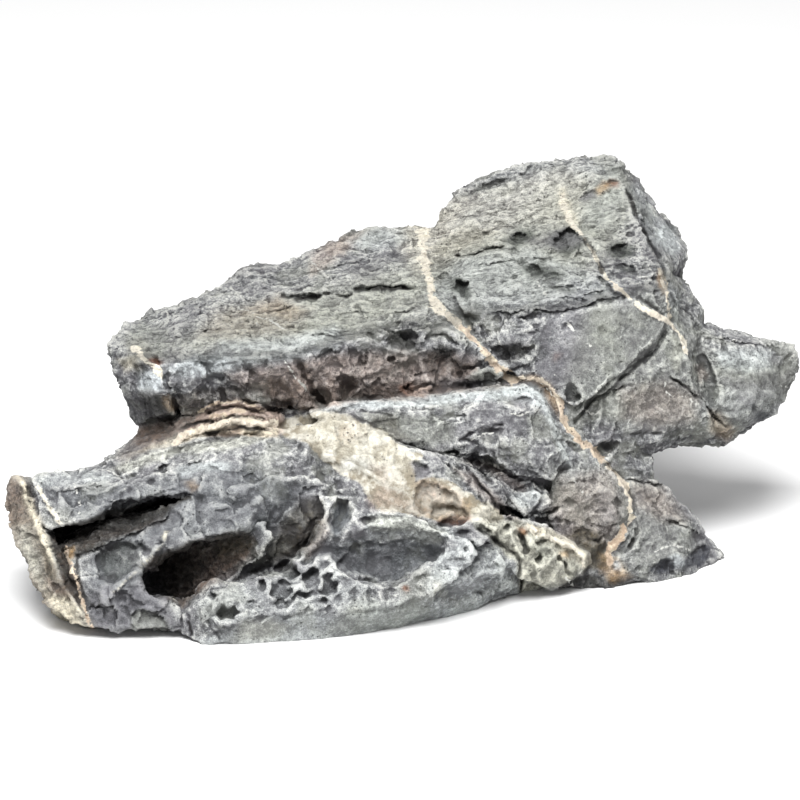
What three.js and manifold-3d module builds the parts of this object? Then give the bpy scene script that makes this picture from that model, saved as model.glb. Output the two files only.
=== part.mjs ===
// Seiryu stone: a weathered limestone aquascaping rock, 30 cm long, as one closed solid.
//
// The stone is drawn square to its show face and then laid back onto its base. In the face's own
// axes a corner is [across, up, near], in millimetres: across runs right along the face, up runs
// up the face, and near stands out of it. The hidden back and the bed are drawn in the stone's own
// frame instead: [x, y, z], with +X right, +Y away behind and +Z up. Each block is the convex hull
// of its corners. The blocks are joined, the weathered-out hollows are cut from them, and the base
// is cut flat so that the stone stands.

import * as THREE from "three";
import { ConvexGeometry } from "three/addons/geometries/ConvexGeometry.js";
import { mergeVertices } from "three/addons/utils/BufferGeometryUtils.js";
import Module from "manifold-3d";

const LEAN_BACK = THREE.MathUtils.degToRad(20); // how far the show face looks up
const BASE_DROP = 68; // from the face's origin down to the base, measured plumb
const SIGHT_DISTANCE = 2525; // across and up are sighted from here, so far corners spread a little
const BED_REACH = 300; // half-width of the block that cuts the base flat
const BED_DEPTH = 100; // its height

// ---------------------------------------------------------------- show face, sighted corners

const faceBlocks = {
  // The roof: one long pale slab, from its blunt left end to the tower.
  roofEnd: [
    [-110, 21, 16], [-109, 11, 20], [-106.5, 5, 20], [-102, -1, 16], [-99, -9, 8],
    [-104, 29.5, 8], [-96, 33, 4], [-88, 35, 2],
    [-97, 14, 34], [-92, 3, 33], [-88, -4, 27], [-84, 12, 36],
    [-103, 24, -20], [-98, -8, -20], [-84, 33, -30], [-80, -10, -40],
  ],
  roofLeft: [
    [-90, 35, 3], [-75, 37, 0], [-68, 41, -3], [-60, 45, -6],
    [-90, 13, 36], [-76, 16, 38], [-60, 16, 38], [-44, 16, 35],
    [-86, 2, 29], [-70, 1, 27], [-56, 0, 23], [-44, -2, 19], [-80, -7, 16],
    [-84, 32, -40], [-44, 42, -50], [-84, -8, -40], [-44, -12, -60],
  ],
  roofCrest: [
    [-70, 40, -1], [-63, 45.5, -6], [-57, 50, -9], [-53, 50, -10], [-45, 48.5, -11], [-36, 53.5, -14],
    [-60, 30, 16], [-34, 36, 10], [-56, 44, -40], [-30, 46, -50],
  ],
  roofMiddle: [
    [-48, 47, -10], [-41, 51, -12], [-30, 57, -16], [-24, 59, -17], [-18, 62.5, -19], [-12, 63.5, -20],
    [-4, 63.5, -20],
    [-56, 16, 37], [-42, 15.5, 35], [-24, 18, 30], [-12, 24, 25], [0, 26.5, 23],
    [-50, 0, 21], [-34, 1, 16], [-24, -3, 13], [-10, 4, 13], [4, 2, 10],
    [-50, 42, -50], [0, 54, -60], [0, -12, -70], [-50, -12, -60],
  ],
  roofRight: [
    [-12, 63.5, -20], [3, 65, -21], [14, 66.5, -23], [20, 68, -24],
    [-12, 24, 25], [6, 27, 23], [16, 26, 21], [26, 22, 17], [36, 15, 12],
    [-6, 3, 12], [10, 5, 10], [26, 6, 8], [42, 7, 6],
    [-12, 56, -60], [34, 62, -70], [34, -12, -70], [-12, -12, -70],
  ],
  // The tower: the tall right end, with a steep dark right side.
  tower: [
    [14, 67, -23], [17, 71, -26], [20, 76, -28], [28, 82, -31], [36, 86, -33], [44, 88.5, -34], [57, 91.5, -35],
    [71, 93, -35], [80, 92.5, -33], [84, 91, -31],
    [15, 46, 0], [25, 34, 13],
    [34, 33, 15], [50, 33, 16], [64, 34, 15], [84, 38, 9], [92, 36, 7], [102, 31, 0],
    [85, 81, -16], [88, 74, -10], [93, 62, -4], [99, 48, 0],
    [34, 15, 12], [44, 10, 10], [56, 7, 9], [66, -3, 8], [76, 3, 6], [88, 14, 4], [97, 23, 2],
    [40, 74, -66], [80, 78, -70], [90, 10, -70], [40, -4, -74],
  ],
  towerSide: [
    [83, 91, -30], [87, 88, -36], [91, 84, -42], [97, 75, -50], [103, 66, -54], [106, 60, -54],
    [105, 50, -50], [87, 80, -17], [95, 61, -6], [101, 47, -4], [98, 34, -2], [101, 40, -30],
    [86, 82, -70], [97, 66, -78], [100, 34, -76], [84, 10, -66], [60, 84, -50], [60, 40, -20],
  ],
  towerHeel: [
    [100, 50, -6], [103, 47, -24], [104, 45, -40], [107, 40, -42], [113, 34, -40], [112, 28, -30],
    [102, 31, -2], [106, 27, -8], [70, 40, -10], [70, 20, -20], [98, 44, -70], [106, 26, -70],
  ],
  // The wall under the tower's lip, and the nose that juts from it.
  shoulder: [
    [102, 31, -2], [107, 40, -30], [113, 34, -34], [115, 28, -32], [112, 20, -16], [108, 14, -8],
    [100, 11, -2], [88, 8, 0], [80, 4, 0], [74, 0, 0], [66, -8, 1], [70, -15, 0], [84, -18, -6],
    [97, -21, -16], [100, -18, -18], [106, -15.5, -20], [112, -16, -24], [120, -18, -30], [118, -6, -16],
    [112, 2, -10],
    [108, 22, -66], [112, -10, -62], [66, -16, -70], [66, 6, -70],
  ],
  nose: [
    [110, 28, -34], [119, 29.5, -38], [126, 26, -40], [134, 23.5, -42], [142, 23.5, -44], [148, 20, -46],
    [150.5, 13, -48], [150.5, 8, -48],
    [147, 0, -46], [144, -4, -44], [138, -8, -42], [132, -11, -40], [127, -14, -38], [124, -17.5, -34],
    [114, -16.5, -28],
    [114, 24, -22], [128, 18, -26], [141, 12, -32], [141, 3, -30], [122, 2, -16], [124, -8, -22],
    [116, 22, -64], [136, 16, -68], [140, 2, -66], [122, -12, -60],
  ],
  // Middle storey: the pale shelf in front of the undercut, and the ribs beneath it.
  shelfLeft: [
    [-34, -5.5, 23], [-24, -2, 23], [-4, -0.5, 24], [2, -0.5, 25], [15, -2, 27], [20, -8, 27],
    [20, -17, 24], [8, -19, 25], [-2, -15, 27], [-8, -10, 27], [-16, -6, 27], [-30, -6, 25],
    [-34, -3, 4], [20, 4, 4], [22, -20, -10], [-16, -12, -10],
  ],
  shelfRight: [
    [12, -0.5, 24], [26, 2, 20], [38, 4.5, 19], [47, 5.5, 17], [51, 4, 17], [55, -2, 18], [59, -12, 18],
    [64, -22, 15], [60, -27, 16], [57, -31, 17], [51, -30, 18], [40, -25, 20], [24, -20.5, 22],
    [20, -4, 27], [38, -3, 25], [50, -3, 23], [54, -14, 22], [40, -16, 25],
    [12, 6, -4], [50, 9, -6], [64, -20, -12], [40, -26, -10],
  ],
  ribs: [
    [2, -19, 28], [14, -21, 28], [24, -24, 26], [31, -29, 26], [41, -37, 23], [51, -46, 17],
    [28, -24, 16], [44, -36, 12], [56, -44, 10], [20, -26, 29], [34, -37, 27],
    [10, -20, -10], [50, -44, -20],
  ],
  wedge: [
    [40, -32, 14], [48, -31, 15], [55, -33, 14], [57, -39, 14], [52, -44, 14], [44, -42, 15], [38, -36, 15],
    [44, -30, -10], [58, -46, -10],
  ],
  // The twisted brown layers between the roof and the lower left block.
  tail: [
    [-111, -24, 16], [-107, -19.5, 15], [-103, -16, 12], [-98, -10, 8], [-80, -6, 14], [-70, -2, 17],
    [-60, -1, 17], [-48, -5, 17],
    [-104, -24, 20], [-84, -15, 23], [-66, -9, 25], [-50, -12, 26],
    [-98, -18, -26], [-60, -5, -50], [-40, -14, -40], [-40, -6, 10],
  ],
  // Lower storey, left: a beam over a slit, a hollowed wall below, and a pale cap on the end.
  cap: [
    [-147, -30, 28], [-149.5, -36, 29], [-151, -41, 30], [-149, -46, 33], [-146, -51, 36], [-142, -58, 40],
    [-137, -69, 44], [-132, -79, 46], [-126, -84, 47], [-119, -87, 48], [-115, -87.5, 48],
    [-143, -31, 34], [-139, -38, 39], [-137, -46, 42], [-133, -56, 45], [-129, -68, 49], [-121, -80, 51],
    [-140, -32, 4], [-136, -60, 8], [-128, -78, 14],
  ],
  beam: [
    [-139, -28.5, 30], [-130, -29, 32], [-122, -27, 33], [-110, -24.5, 30], [-100, -20, 28],
    [-139, -36, 41], [-136, -46, 43], [-132, -48.5, 44], [-124, -46, 45], [-112, -41.5, 45], [-100, -38, 45],
    [-84, -35.5, 43], [-74, -34, 42],
    [-124, -34, 43], [-104, -29, 40], [-86, -25, 37], [-74, -24, 39],
    [-128, -32, -4], [-100, -30, -10], [-76, -28, -8], [-132, -44, 12], [-90, -36, 12],
  ],
  lowerTop: [
    [-108, -24, 27], [-96, -18, 24], [-86, -15.5, 23], [-70, -14.5, 24], [-56, -13, 25], [-46, -12.5, 26],
    [-34, -9, 26],
    [-88, -24, 37], [-66, -23, 39], [-50, -22, 39], [-36, -20, 38],
    [-84, -34, 43], [-60, -36, 45], [-40, -38, 43], [-30, -36, 39],
    [-60, -47, 42], [-42, -48, 38],
    [-98, -24, -20], [-34, -12, -50], [-34, -48, -30], [-80, -40, -10],
  ],
  slitBack: [
    [-134, -50, 18], [-76, -34, 20], [-76, -60, 24], [-128, -70, 20], [-134, -40, 4], [-76, -30, -6],
    [-126, -78, -6], [-60, -60, -26],
  ],
  sill: [
    [-131, -56, 35], [-122, -57, 42], [-112, -54, 46], [-104, -52.5, 47], [-96, -48, 47], [-88, -44, 46],
    [-80, -39, 43], [-74, -35, 41],
    [-120, -52, 26], [-100, -46, 26], [-80, -38, 26],
    [-60, -38, 43], [-52, -44, 44], [-56, -49, 44], [-66, -49.5, 47], [-80, -53, 49], [-90, -56.5, 50],
    [-98, -61, 51],
    [-128, -70, 22], [-60, -50, 12], [-100, -68, 34],
  ],
  panel: [
    [-124, -57, 44], [-112, -54.5, 46], [-100, -54, 48], [-92, -57, 50], [-99, -66, 52], [-105, -71, 52],
    [-110, -76, 52],
    [-122, -66, 47], [-119, -78, 49], [-115, -87, 50], [-104, -86, 50], [-92, -85.5, 49], [-83, -86, 48],
    [-96, -74, 50], [-88, -78, 49], [-86, -82, 49],
    [-130, -60, 36], [-126, -74, 42], [-118, -84, 20], [-84, -84, 12], [-100, -60, 22],
  ],
  cavityFloor: [
    [-98, -66, 32], [-60, -48, 16], [-40, -48, 20], [-28, -54, 26], [-40, -66, 36], [-84, -84, 38],
    [-92, -80, 36], [-60, -74, 36],
    [-90, -56, -8], [-40, -46, -28], [-60, -80, -8], [-10, -66, 24],
  ],
  // Lower storey, middle: the calcite hump with a scalloped brow, running down to a knobbly tip.
  hump: [
    [-38, -10, 27], [-28, -7, 27], [-14, -9, 28], [0, -16, 31], [10, -20, 30], [20, -27, 31], [28, -34, 30],
    [38, -41, 26],
    [-30, -18, 34], [-20, -26, 38], [-10, -36, 41], [0, -40, 41], [14, -46, 39], [26, -47, 36], [36, -48, 30],
    [-28, -36, 37], [-18, -44, 40],
    [-30, -10, -20], [40, -40, -20], [30, -54, 4], [-20, -54, 4],
  ],
  brow: [
    [-28, -42, 38], [-25, -40, 39], [-18, -43, 41], [-8, -42, 42], [4, -43.5, 43], [12, -46, 42], [22, -49, 39],
    [20, -52, 38], [10, -52, 42],
    [0, -51, 44], [-14, -52, 44], [-28, -52, 39],
    [-36, -58, 32], [-20, -66, 30], [0, -68, 30], [16, -58, 28],
    [-30, -50, -6], [20, -50, -6],
  ],
  tip: [
    [28, -43, 32], [38, -43, 27], [46, -48, 21], [54, -47, 16], [61, -50.5, 11], [67, -55, 8], [71, -58, 6],
    [71, -62, 6], [66, -68, 6], [56, -71, 8],
    [46, -56, 23], [56, -60, 18], [46, -68, 19], [36, -56, 28],
    [30, -50, -10], [60, -60, -20],
  ],
  // The scalloped lobe that lies along the front.
  lobe: [
    [-82, -88, 47], [-81, -81, 49], [-77, -76, 52], [-70, -71.5, 54], [-60, -68.5, 54], [-54, -66, 54],
    [-46, -67, 52], [-38, -66.5, 51], [-30, -60.5, 48],
    [-24, -63, 48], [-18, -65.5, 48], [-9, -68.5, 46], [0, -68.5, 45], [6, -64, 42], [15, -58, 38], [24, -53, 34],
    [36, -53, 27], [45, -58, 21],
    [-77, -90, 50], [-72, -91.5, 51], [-50, -90.5, 49], [-30, -89, 45], [-10, -87, 39], [4, -84.5, 32],
    [16, -82, 26], [30, -77, 14], [45, -72.5, 4],
    [-62, -80, 58], [-30, -78, 54], [0, -76, 48], [20, -68, 40], [36, -64, 30],
    [-80, -76, 12], [-40, -66, -8], [40, -58, -26], [40, -66, -40],
  ],
  // Lower storey, right: the wall under the shelf, the neck below the shoulder, and the foot.
  wall: [
    [60, -8, 9], [66, -16, 8], [75, -22, 5], [84, -30, 1], [88.5, -38, -2], [89, -46, -4], [82, -47, -2],
    [58, -30, 12], [66, -30, 13], [76, -34, 9], [80, -42, 5], [64, -42, 10], [56, -41, 8], [58, -50, 7],
    [72, -50, 4],
    [60, -56, 4], [70, -60, 1], [76, -56, 0], [64, -69, 0],
    [60, -10, -60], [85, -40, -50], [80, -60, -50],
  ],
  foot: [
    [84, -28, -8], [92, -31, -11], [98, -31, -16], [102, -34, -18], [106, -42, -20], [112, -49, -24],
    [119, -54, -30], [121, -58, -32], [119, -62, -27],
    [112, -65.5, -20], [104, -67.5, -14], [92, -69, -8], [80, -70.5, -4], [66, -71.5, -2], [60, -71, 0],
    [90, -48, -4], [100, -50, -9], [90, -60, -2], [104, -58, -10], [76, -60, 0],
    [90, -32, -50], [100, -50, -60], [70, -50, -70], [84, -66, -60],
  ],
  neck: [
    [70, -14, 0], [84, -16, -5], [96, -20, -16], [97, -25, -19], [97, -32, -17], [84, -31, -8], [76, -24, 1],
    [80, -14, -60], [94, -24, -56], [92, -32, -56],
  ],
};

// ---------------------------------------------------------------- back and bed, in the stone's frame

const backBlocks = {
  towerBack: [
    [34, 64, 136], [60, 66, 141], [82, 64, 138], [94, 72, 124], [22, 60, 124],
    [12, 82, 108], [58, 94, 118], [94, 90, 110], [104, 80, 88],
    [4, 90, 74], [60, 102, 80], [98, 90, 72],
    [20, 20, 70], [90, 20, 70],
  ],
  roofBack: [
    [-60, 28, 100], [-12, 44, 115], [22, 54, 116],
    [-84, 40, 84], [-56, 62, 92], [-10, 78, 102], [40, 88, 106],
    [-90, 44, 60], [-52, 76, 56], [-4, 92, 66], [50, 98, 66],
    [-80, 10, 60], [30, 10, 60],
  ],
  endBack: [
    [-104, 2, 84], [-100, 24, 86], [-86, 44, 84], [-100, 30, 66], [-88, 46, 62], [-94, 6, 56], [-80, 50, 60],
    [-70, 10, 60],
  ],
  noseBack: [
    [118, 44, 76], [140, 52, 70], [142, 62, 62], [138, 66, 54], [116, 70, 62], [112, 60, 44],
    [96, 84, 74], [92, 80, 44], [90, 20, 50],
  ],
  lowerBack: [
    [-96, 14, 44], [-92, 34, 50], [-78, 52, 60], [-30, 72, 60], [30, 88, 66], [84, 82, 62], [92, 60, 48],
    [-98, 32, 24], [-70, 60, 28], [0, 84, 30], [60, 86, 30], [88, 62, 26],
    [-92, 30, -4], [-66, 52, -4], [0, 74, -4], [58, 74, -4], [82, 50, -4],
    [-90, -30, 20], [80, -10, 20],
  ],
  blockBack: [
    [-141, -32, 41], [-136, -14, 38], [-124, 10, 32], [-106, 26, 34], [-80, 44, 40],
    [-140, -26, 22], [-126, 6, 16], [-108, 28, 16], [-76, 48, 20],
    [-118, -50, -4], [-122, -16, -4], [-104, 20, -4], [-72, 40, -4],
    [-70, -20, 44], [-70, -30, 10],
  ],
  core: [
    [-90, -14, 62], [-60, -8, 76], [60, -2, 80], [84, 8, 66],
    [-96, -30, 40], [-40, -36, 44], [50, -22, 50], [86, 0, 40],
    [-90, -40, 16], [0, -40, 20], [80, -10, 14],
    [-80, 40, 60], [80, 60, 60], [-80, 30, 10], [80, 40, 10],
  ],
  bedLeft: [
    [-112, -50, 12], [-108, -48, -4], [-84, -58, -4], [-72, -74, 4], [-70, -72, -4], [-50, -70, -4],
    [-10, -60, -4], [16, -48, -4], [30, -34, -4],
    [-100, 10, -4], [0, 60, -4], [-80, -30, 20], [20, -20, 20],
  ],
  bedRight: [
    [0, -50, -4], [30, -34, -4], [46, -22, -4], [64, -15, -4], [90, -10, -4], [110, 8, -1], [96, 24, -4],
    [10, 60, -4], [74, 56, -4], [20, -20, 20], [76, 0, 20],
  ],
};

// Weathered-out hollows in the show face: eggs with these half-sizes along the face's axes, turned
// in its plane.
const hollows = {
  cavityMouth: { at: [-79, -64, 42], half: [21, 10.5, 36], turn: 24 },
  cavityEnd: { at: [-92, -68, 46], half: [9, 7.5, 30], turn: -35 },
  trough: { at: [-52, -60, 50], half: [19, 5.5, 24], turn: -8 },
  bay: { at: [-40, -48, 70], half: [25, 25, 36], turn: 0 },
  bayCorner: { at: [-33, -52, 48], half: [8, 11, 18], turn: -24 },
  bowl: { at: [-5, -60, 54], half: [21, 9, 24], turn: 4 },
  calciteBowl: { at: [18, -41, 44], half: [9, 4.5, 10], turn: -14 },
  innerBowl: { at: [7, -38, 47], half: [5, 4.5, 7], turn: 0 },
  eggPit: { at: [-23, -45, 50], half: [4, 6, 11], turn: 8 },
  archHollow: { at: [79, -18, 6], half: [6.5, 5, 12], turn: 10 },
  roofNotch: { at: [-30, 0, 22], half: [6, 4.5, 10], turn: 0 },
  roofScoop: { at: [2, 20, 28], half: [9, 5.5, 9], turn: 0 },
};

// ---------------------------------------------------------------- solids

const wasm = await Module();
wasm.setup();

// A closed three.js geometry as a manifold-3d solid.
function solidOf(geometry) {
  geometry.deleteAttribute("normal");
  geometry.deleteAttribute("uv");
  const merged = mergeVertices(geometry, 1e-3);
  return new wasm.Manifold(
    new wasm.Mesh({
      numProp: 3,
      vertProperties: new Float32Array(merged.attributes.position.array),
      triVerts: new Uint32Array(merged.index.array),
    }),
  );
}

function geometryOf(solid) {
  const { numProp, numVert, vertProperties, triVerts } = solid.getMesh();
  const positions = new Float32Array(numVert * 3);
  for (let i = 0; i < numVert; i++) {
    positions.set(vertProperties.subarray(i * numProp, i * numProp + 3), i * 3);
  }
  return new THREE.BufferGeometry()
    .setAttribute("position", new THREE.BufferAttribute(positions, 3))
    .setIndex(new THREE.BufferAttribute(triVerts, 1));
}

// The face's axes stood up in the stone's frame: +X across, -Y towards the viewer, +Z up.
const standUp = new THREE.Matrix4()
  .makeTranslation(0, 0, BASE_DROP)
  .multiply(new THREE.Matrix4().makeRotationX(Math.PI / 2 - LEAN_BACK));

function sighted([across, up, near]) {
  const spread = 1 - near / SIGHT_DISTANCE;
  return new THREE.Vector3(across * spread, up * spread, near);
}

const faceBlock = (corners) => solidOf(new ConvexGeometry(corners.map(sighted)).applyMatrix4(standUp));
const backBlock = (corners) => solidOf(new ConvexGeometry(corners.map((c) => new THREE.Vector3(...c))));

function hollowEgg({ at, half, turn }) {
  const centre = sighted(at);
  const egg = new THREE.IcosahedronGeometry(1, 3)
    .scale(...half)
    .rotateZ(THREE.MathUtils.degToRad(turn))
    .translate(centre.x, centre.y, centre.z);
  return solidOf(egg.applyMatrix4(standUp));
}

const ground = new THREE.BoxGeometry(2 * BED_REACH, 2 * BED_REACH, BED_DEPTH).translate(0, 0, -BED_DEPTH / 2);
const blocks = [...Object.values(faceBlocks).map(faceBlock), ...Object.values(backBlocks).map(backBlock)];
const cutters = [...Object.values(hollows).map(hollowEgg), solidOf(ground)];
const joined = blocks.reduce((all, block) => all.add(block));
const weathered = cutters.reduce((left, cutter) => left.subtract(cutter), joined);
// The largest body is the stone's outer surface, without the slivers sealed up between blocks.
const [stone] = weathered.decompose().sort((a, b) => b.volume() - a.volume());

const limestone = new THREE.MeshStandardMaterial({ color: "#83868a", roughness: 0.8, metalness: 0 });
const mesh = new THREE.Mesh(geometryOf(stone), limestone);
mesh.name = "stone";

const seiryuStone = new THREE.Group();
seiryuStone.add(mesh);
export default seiryuStone;
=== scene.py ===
"""Seiryu stone: a weathered grey limestone rock, sculpted over its CAD solid and finished.

The CAD solid is copied, remeshed and weathered with numpy: first the large forms, then the layers,
scallops, cracks and pits. What lies where on the show face is given in the face's own millimetres,
[across, up], as sighted square to the face; everything else follows from noise in the stone's frame.
"""

import math

import bmesh
import bpy
import numpy as np
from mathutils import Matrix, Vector


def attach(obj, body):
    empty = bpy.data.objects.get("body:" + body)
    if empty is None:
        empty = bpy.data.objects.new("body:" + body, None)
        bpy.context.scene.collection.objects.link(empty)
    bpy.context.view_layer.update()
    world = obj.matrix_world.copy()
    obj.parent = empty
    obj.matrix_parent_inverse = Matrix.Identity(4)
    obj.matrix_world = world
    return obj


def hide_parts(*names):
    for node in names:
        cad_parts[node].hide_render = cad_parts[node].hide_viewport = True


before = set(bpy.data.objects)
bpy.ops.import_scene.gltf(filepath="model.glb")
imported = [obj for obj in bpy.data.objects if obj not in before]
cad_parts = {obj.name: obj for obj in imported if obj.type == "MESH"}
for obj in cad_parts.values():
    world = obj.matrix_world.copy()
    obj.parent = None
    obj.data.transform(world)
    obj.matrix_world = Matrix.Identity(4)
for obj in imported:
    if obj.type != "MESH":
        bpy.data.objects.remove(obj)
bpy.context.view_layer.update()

MM = 0.001
LEAN_BACK = math.radians(20)  # how far the show face looks up
BASE_DROP = 68.0  # mm from the face's origin down to the bed
SIGHT_DISTANCE = 2525.0  # mm from which across and up are sighted
LENS, SENSOR = 300, 36  # mm
BEDS = (-0.17, 0.93, -0.32)  # square to the beds: across, up and near

FORM_VOXEL = 0.8  # mm, for the large forms
SKIN_VOXEL = 0.66  # mm, for the weathered skin
MOST_TRIANGLES = 225_000
AWAY_SHARE = 0.6  # of the triangles, once those that face away are thinned
AWAY_PULL = 0.6  # how much more readily those are thinned

FLOOR_REACH = 6.0  # m
ROOM_LIGHT = 0.46
SOFTBOX = {"place": (-0.1, -0.75, 1.35), "size": (0.9, 0.8), "watts": 40}  # m
MIXERS = (374761393, 668265263, 2246822519, 3266489917, 2654435761, 1274126177)  # odd, to mix bits


def linear(hex_colour, alpha=1.0):
    """An sRGB hex colour as the linear RGBA that a shader socket takes."""
    parts = [int(hex_colour[i : i + 2], 16) / 255 for i in (1, 3, 5)]
    return (*(c / 12.92 if c <= 0.04045 else ((c + 0.055) / 1.055) ** 2.4 for c in parts), alpha)


# ---------------------------------------------------------------- camera, floor and light


def add_camera():
    """A long lens, square to the show face, that looks at the face's origin."""
    data = bpy.data.cameras.new("camera")
    data.lens = LENS
    data.sensor_width = SENSOR
    data.clip_end = 50
    camera = bpy.data.objects.new("camera", data)
    away = Vector((0, -math.cos(LEAN_BACK), math.sin(LEAN_BACK)))
    camera.location = Vector((0, 0, BASE_DROP * MM)) + away * SIGHT_DISTANCE * MM
    camera.rotation_euler = away.to_track_quat("Z", "Y").to_euler()
    bpy.context.scene.collection.objects.link(camera)
    bpy.context.scene.camera = camera


def add_area_light(name, place, size, watts):
    """A white rectangular light that faces the middle of the stone."""
    data = bpy.data.lights.new(name, "AREA")
    data.shape = "RECTANGLE"
    data.size, data.size_y = size
    data.energy = watts
    light = bpy.data.objects.new(name, data)
    light.location = place
    light.rotation_euler = (Vector(place) - Vector((0, 0, 0.06))).to_track_quat("Z", "Y").to_euler()
    bpy.context.scene.collection.objects.link(light)


def add_studio():
    """A pale floor, a pale room and one large soft light above the stone, a little to the left."""
    mesh = bpy.data.meshes.new("floor")
    corners = [(x * FLOOR_REACH, y * FLOOR_REACH, 0) for x, y in ((-1, -1), (1, -1), (1, 1), (-1, 1))]
    mesh.from_pydata(corners, [], [(0, 1, 2, 3)])
    floor = bpy.data.objects.new("floor", mesh)
    bpy.context.scene.collection.objects.link(floor)
    material = bpy.data.materials.new("white card")
    material.use_nodes = True
    shader = material.node_tree.nodes["Principled BSDF"]
    shader.inputs["Base Color"].default_value = linear("#f7f7f7")
    shader.inputs["Roughness"].default_value = 0.9
    shader.inputs["Specular IOR Level"].default_value = 0.1
    mesh.materials.append(material)

    world = bpy.data.worlds.new("pale room")
    world.use_nodes = True
    world.node_tree.nodes["Background"].inputs["Color"].default_value = (1, 1, 1, 1)
    world.node_tree.nodes["Background"].inputs["Strength"].default_value = ROOM_LIGHT
    bpy.context.scene.world = world
    add_area_light("softbox", **SOFTBOX)
    bpy.context.scene.view_settings.view_transform = "Standard"


# ---------------------------------------------------------------- noise


def lattice(cell, seed, count=1):
    """`count` repeatable random numbers from 0 to 1 for each integer cell, by mixing its bits."""
    c = cell.astype(np.int32).astype(np.uint32)
    h = sum(c[:, k] * np.uint32(MIXERS[k]) for k in range(3))
    h = h + np.uint32((seed * MIXERS[3]) & 0xFFFFFFFF)
    h = (h ^ (h >> np.uint32(15))) * np.uint32(MIXERS[4])
    numbers = []
    for _ in range(count):
        h = (h ^ (h >> np.uint32(13))) * np.uint32(MIXERS[5])
        numbers.append(((h ^ (h >> np.uint32(16))) & np.uint32(0xFFFFFF)).astype(np.float32) / 0xFFFFFF)
    return numbers


def noise(points, size, seed):
    """Gradient noise from about -1 to 1: random slopes at lattice corners, blended smoothly."""
    p = (points / size).astype(np.float32)
    cell = np.floor(p)
    f = p - cell
    s = f * f * f * (f * (f * 6 - 15) + 10)
    total = np.zeros(len(p), np.float32)
    for corner in np.ndindex(2, 2, 2):
        corner = np.array(corner, np.float32)
        turn, tilt = lattice(cell + corner, seed, 2)
        turn, tilt = turn * np.float32(2 * np.pi), tilt * 2 - 1
        flat = np.sqrt(1 - tilt * tilt)
        d = f - corner
        slope = d[:, 0] * flat * np.cos(turn) + d[:, 1] * flat * np.sin(turn) + d[:, 2] * tilt
        x, y, z = np.where(corner, s, 1 - s).T
        total += x * y * z * slope
    return total * 1.7


def fractal(points, size, octaves, seed, fall=0.5):
    """Octaves of noise, each at half the size and `fall` times the height of the last."""
    total, height = 0, 1.0
    for k in range(octaves):
        total = total + height * noise(points, size / 2**k, seed + 17 * k)
        height *= fall
    return total


def ridged(points, size, octaves, seed):
    """Sharp crests: one minus the size of the noise, squared, over octaves. From 0 to about 1."""
    total, height, most = 0, 1.0, 0
    for k in range(octaves):
        total = total + height * (1 - np.abs(noise(points, size / 2**k, seed + 31 * k))) ** 2
        most += height
        height *= 0.5
    return total / most


def scatter(points, size, seed, count=3):
    """For the 27 cells around each point: the way from the cell's random spot, and random numbers."""
    p = (points / size).astype(np.float32)
    cell = np.floor(p)
    for offset in np.ndindex(3, 3, 3):
        at = cell + np.array(offset, np.float32) - 1
        numbers = lattice(at, seed, count)
        away = [p[:, k] - at[:, k] - numbers[k] * np.float32(0.8) - np.float32(0.1) for k in range(3)]
        yield away, numbers[3:]


def cells(points, size, seed):
    """Distance to the nearest of one random spot per cell, in cell sizes."""
    near = np.full(len(points), 9.0, np.float32)
    for (x, y, z), _ in scatter(points, size, seed):
        near = np.minimum(near, x * x + y * y + z * z)
    return np.sqrt(near)


def chips(points, size, seed):
    """Flat chips: each point takes the height of the tilted plane of its nearest random spot."""
    near = np.full(len(points), 9.0, np.float32)
    height = np.zeros(len(points), np.float32)
    for (x, y, z), (a, b, c) in scatter(points, size, seed, 6):
        distance = x * x + y * y + z * z
        plane = x * (a * 2 - 1) + y * (b * 2 - 1) + z * (c * 2 - 1)
        height = np.where(distance < near, plane, height)
        near = np.minimum(near, distance)
    return height


def scallops(points, size, seed, tilt=0.45):
    """Shallow dishes that meet at sharp rims: the lowest of one tilted bowl per cell, from about -0.5
    to 0.5. A bowl is |d|^2 + lean . d + lift, where d runs from its random spot, in cell sizes."""
    height = np.full(len(points), 9.0, np.float32)
    for (x, y, z), (a, b, c, lift) in scatter(points, size, seed, 7):
        bowl = x * (x + (a * 2 - 1) * tilt) + y * (y + (b * 2 - 1) * tilt) + z * (z + (c * 2 - 1) * tilt)
        height = np.minimum(height, bowl + lift * np.float32(0.3))
    return height - np.float32(0.3)


def terraces(height, step, sharp):
    """The height in flat steps: a riser takes the last `sharp` share of each step."""
    level = height / step
    whole = np.floor(level)
    return (whole + smoothstep(1 - sharp, 1, level - whole)) * step


def smoothstep(low, high, x):
    """0 up to `low` and 1 from `high` on, with t * t * (3 - 2 t) between."""
    t = np.clip((x - low) / (high - low), 0, 1)
    return t * t * (3 - 2 * t)


# ---------------------------------------------------------------- mesh arrays


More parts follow.
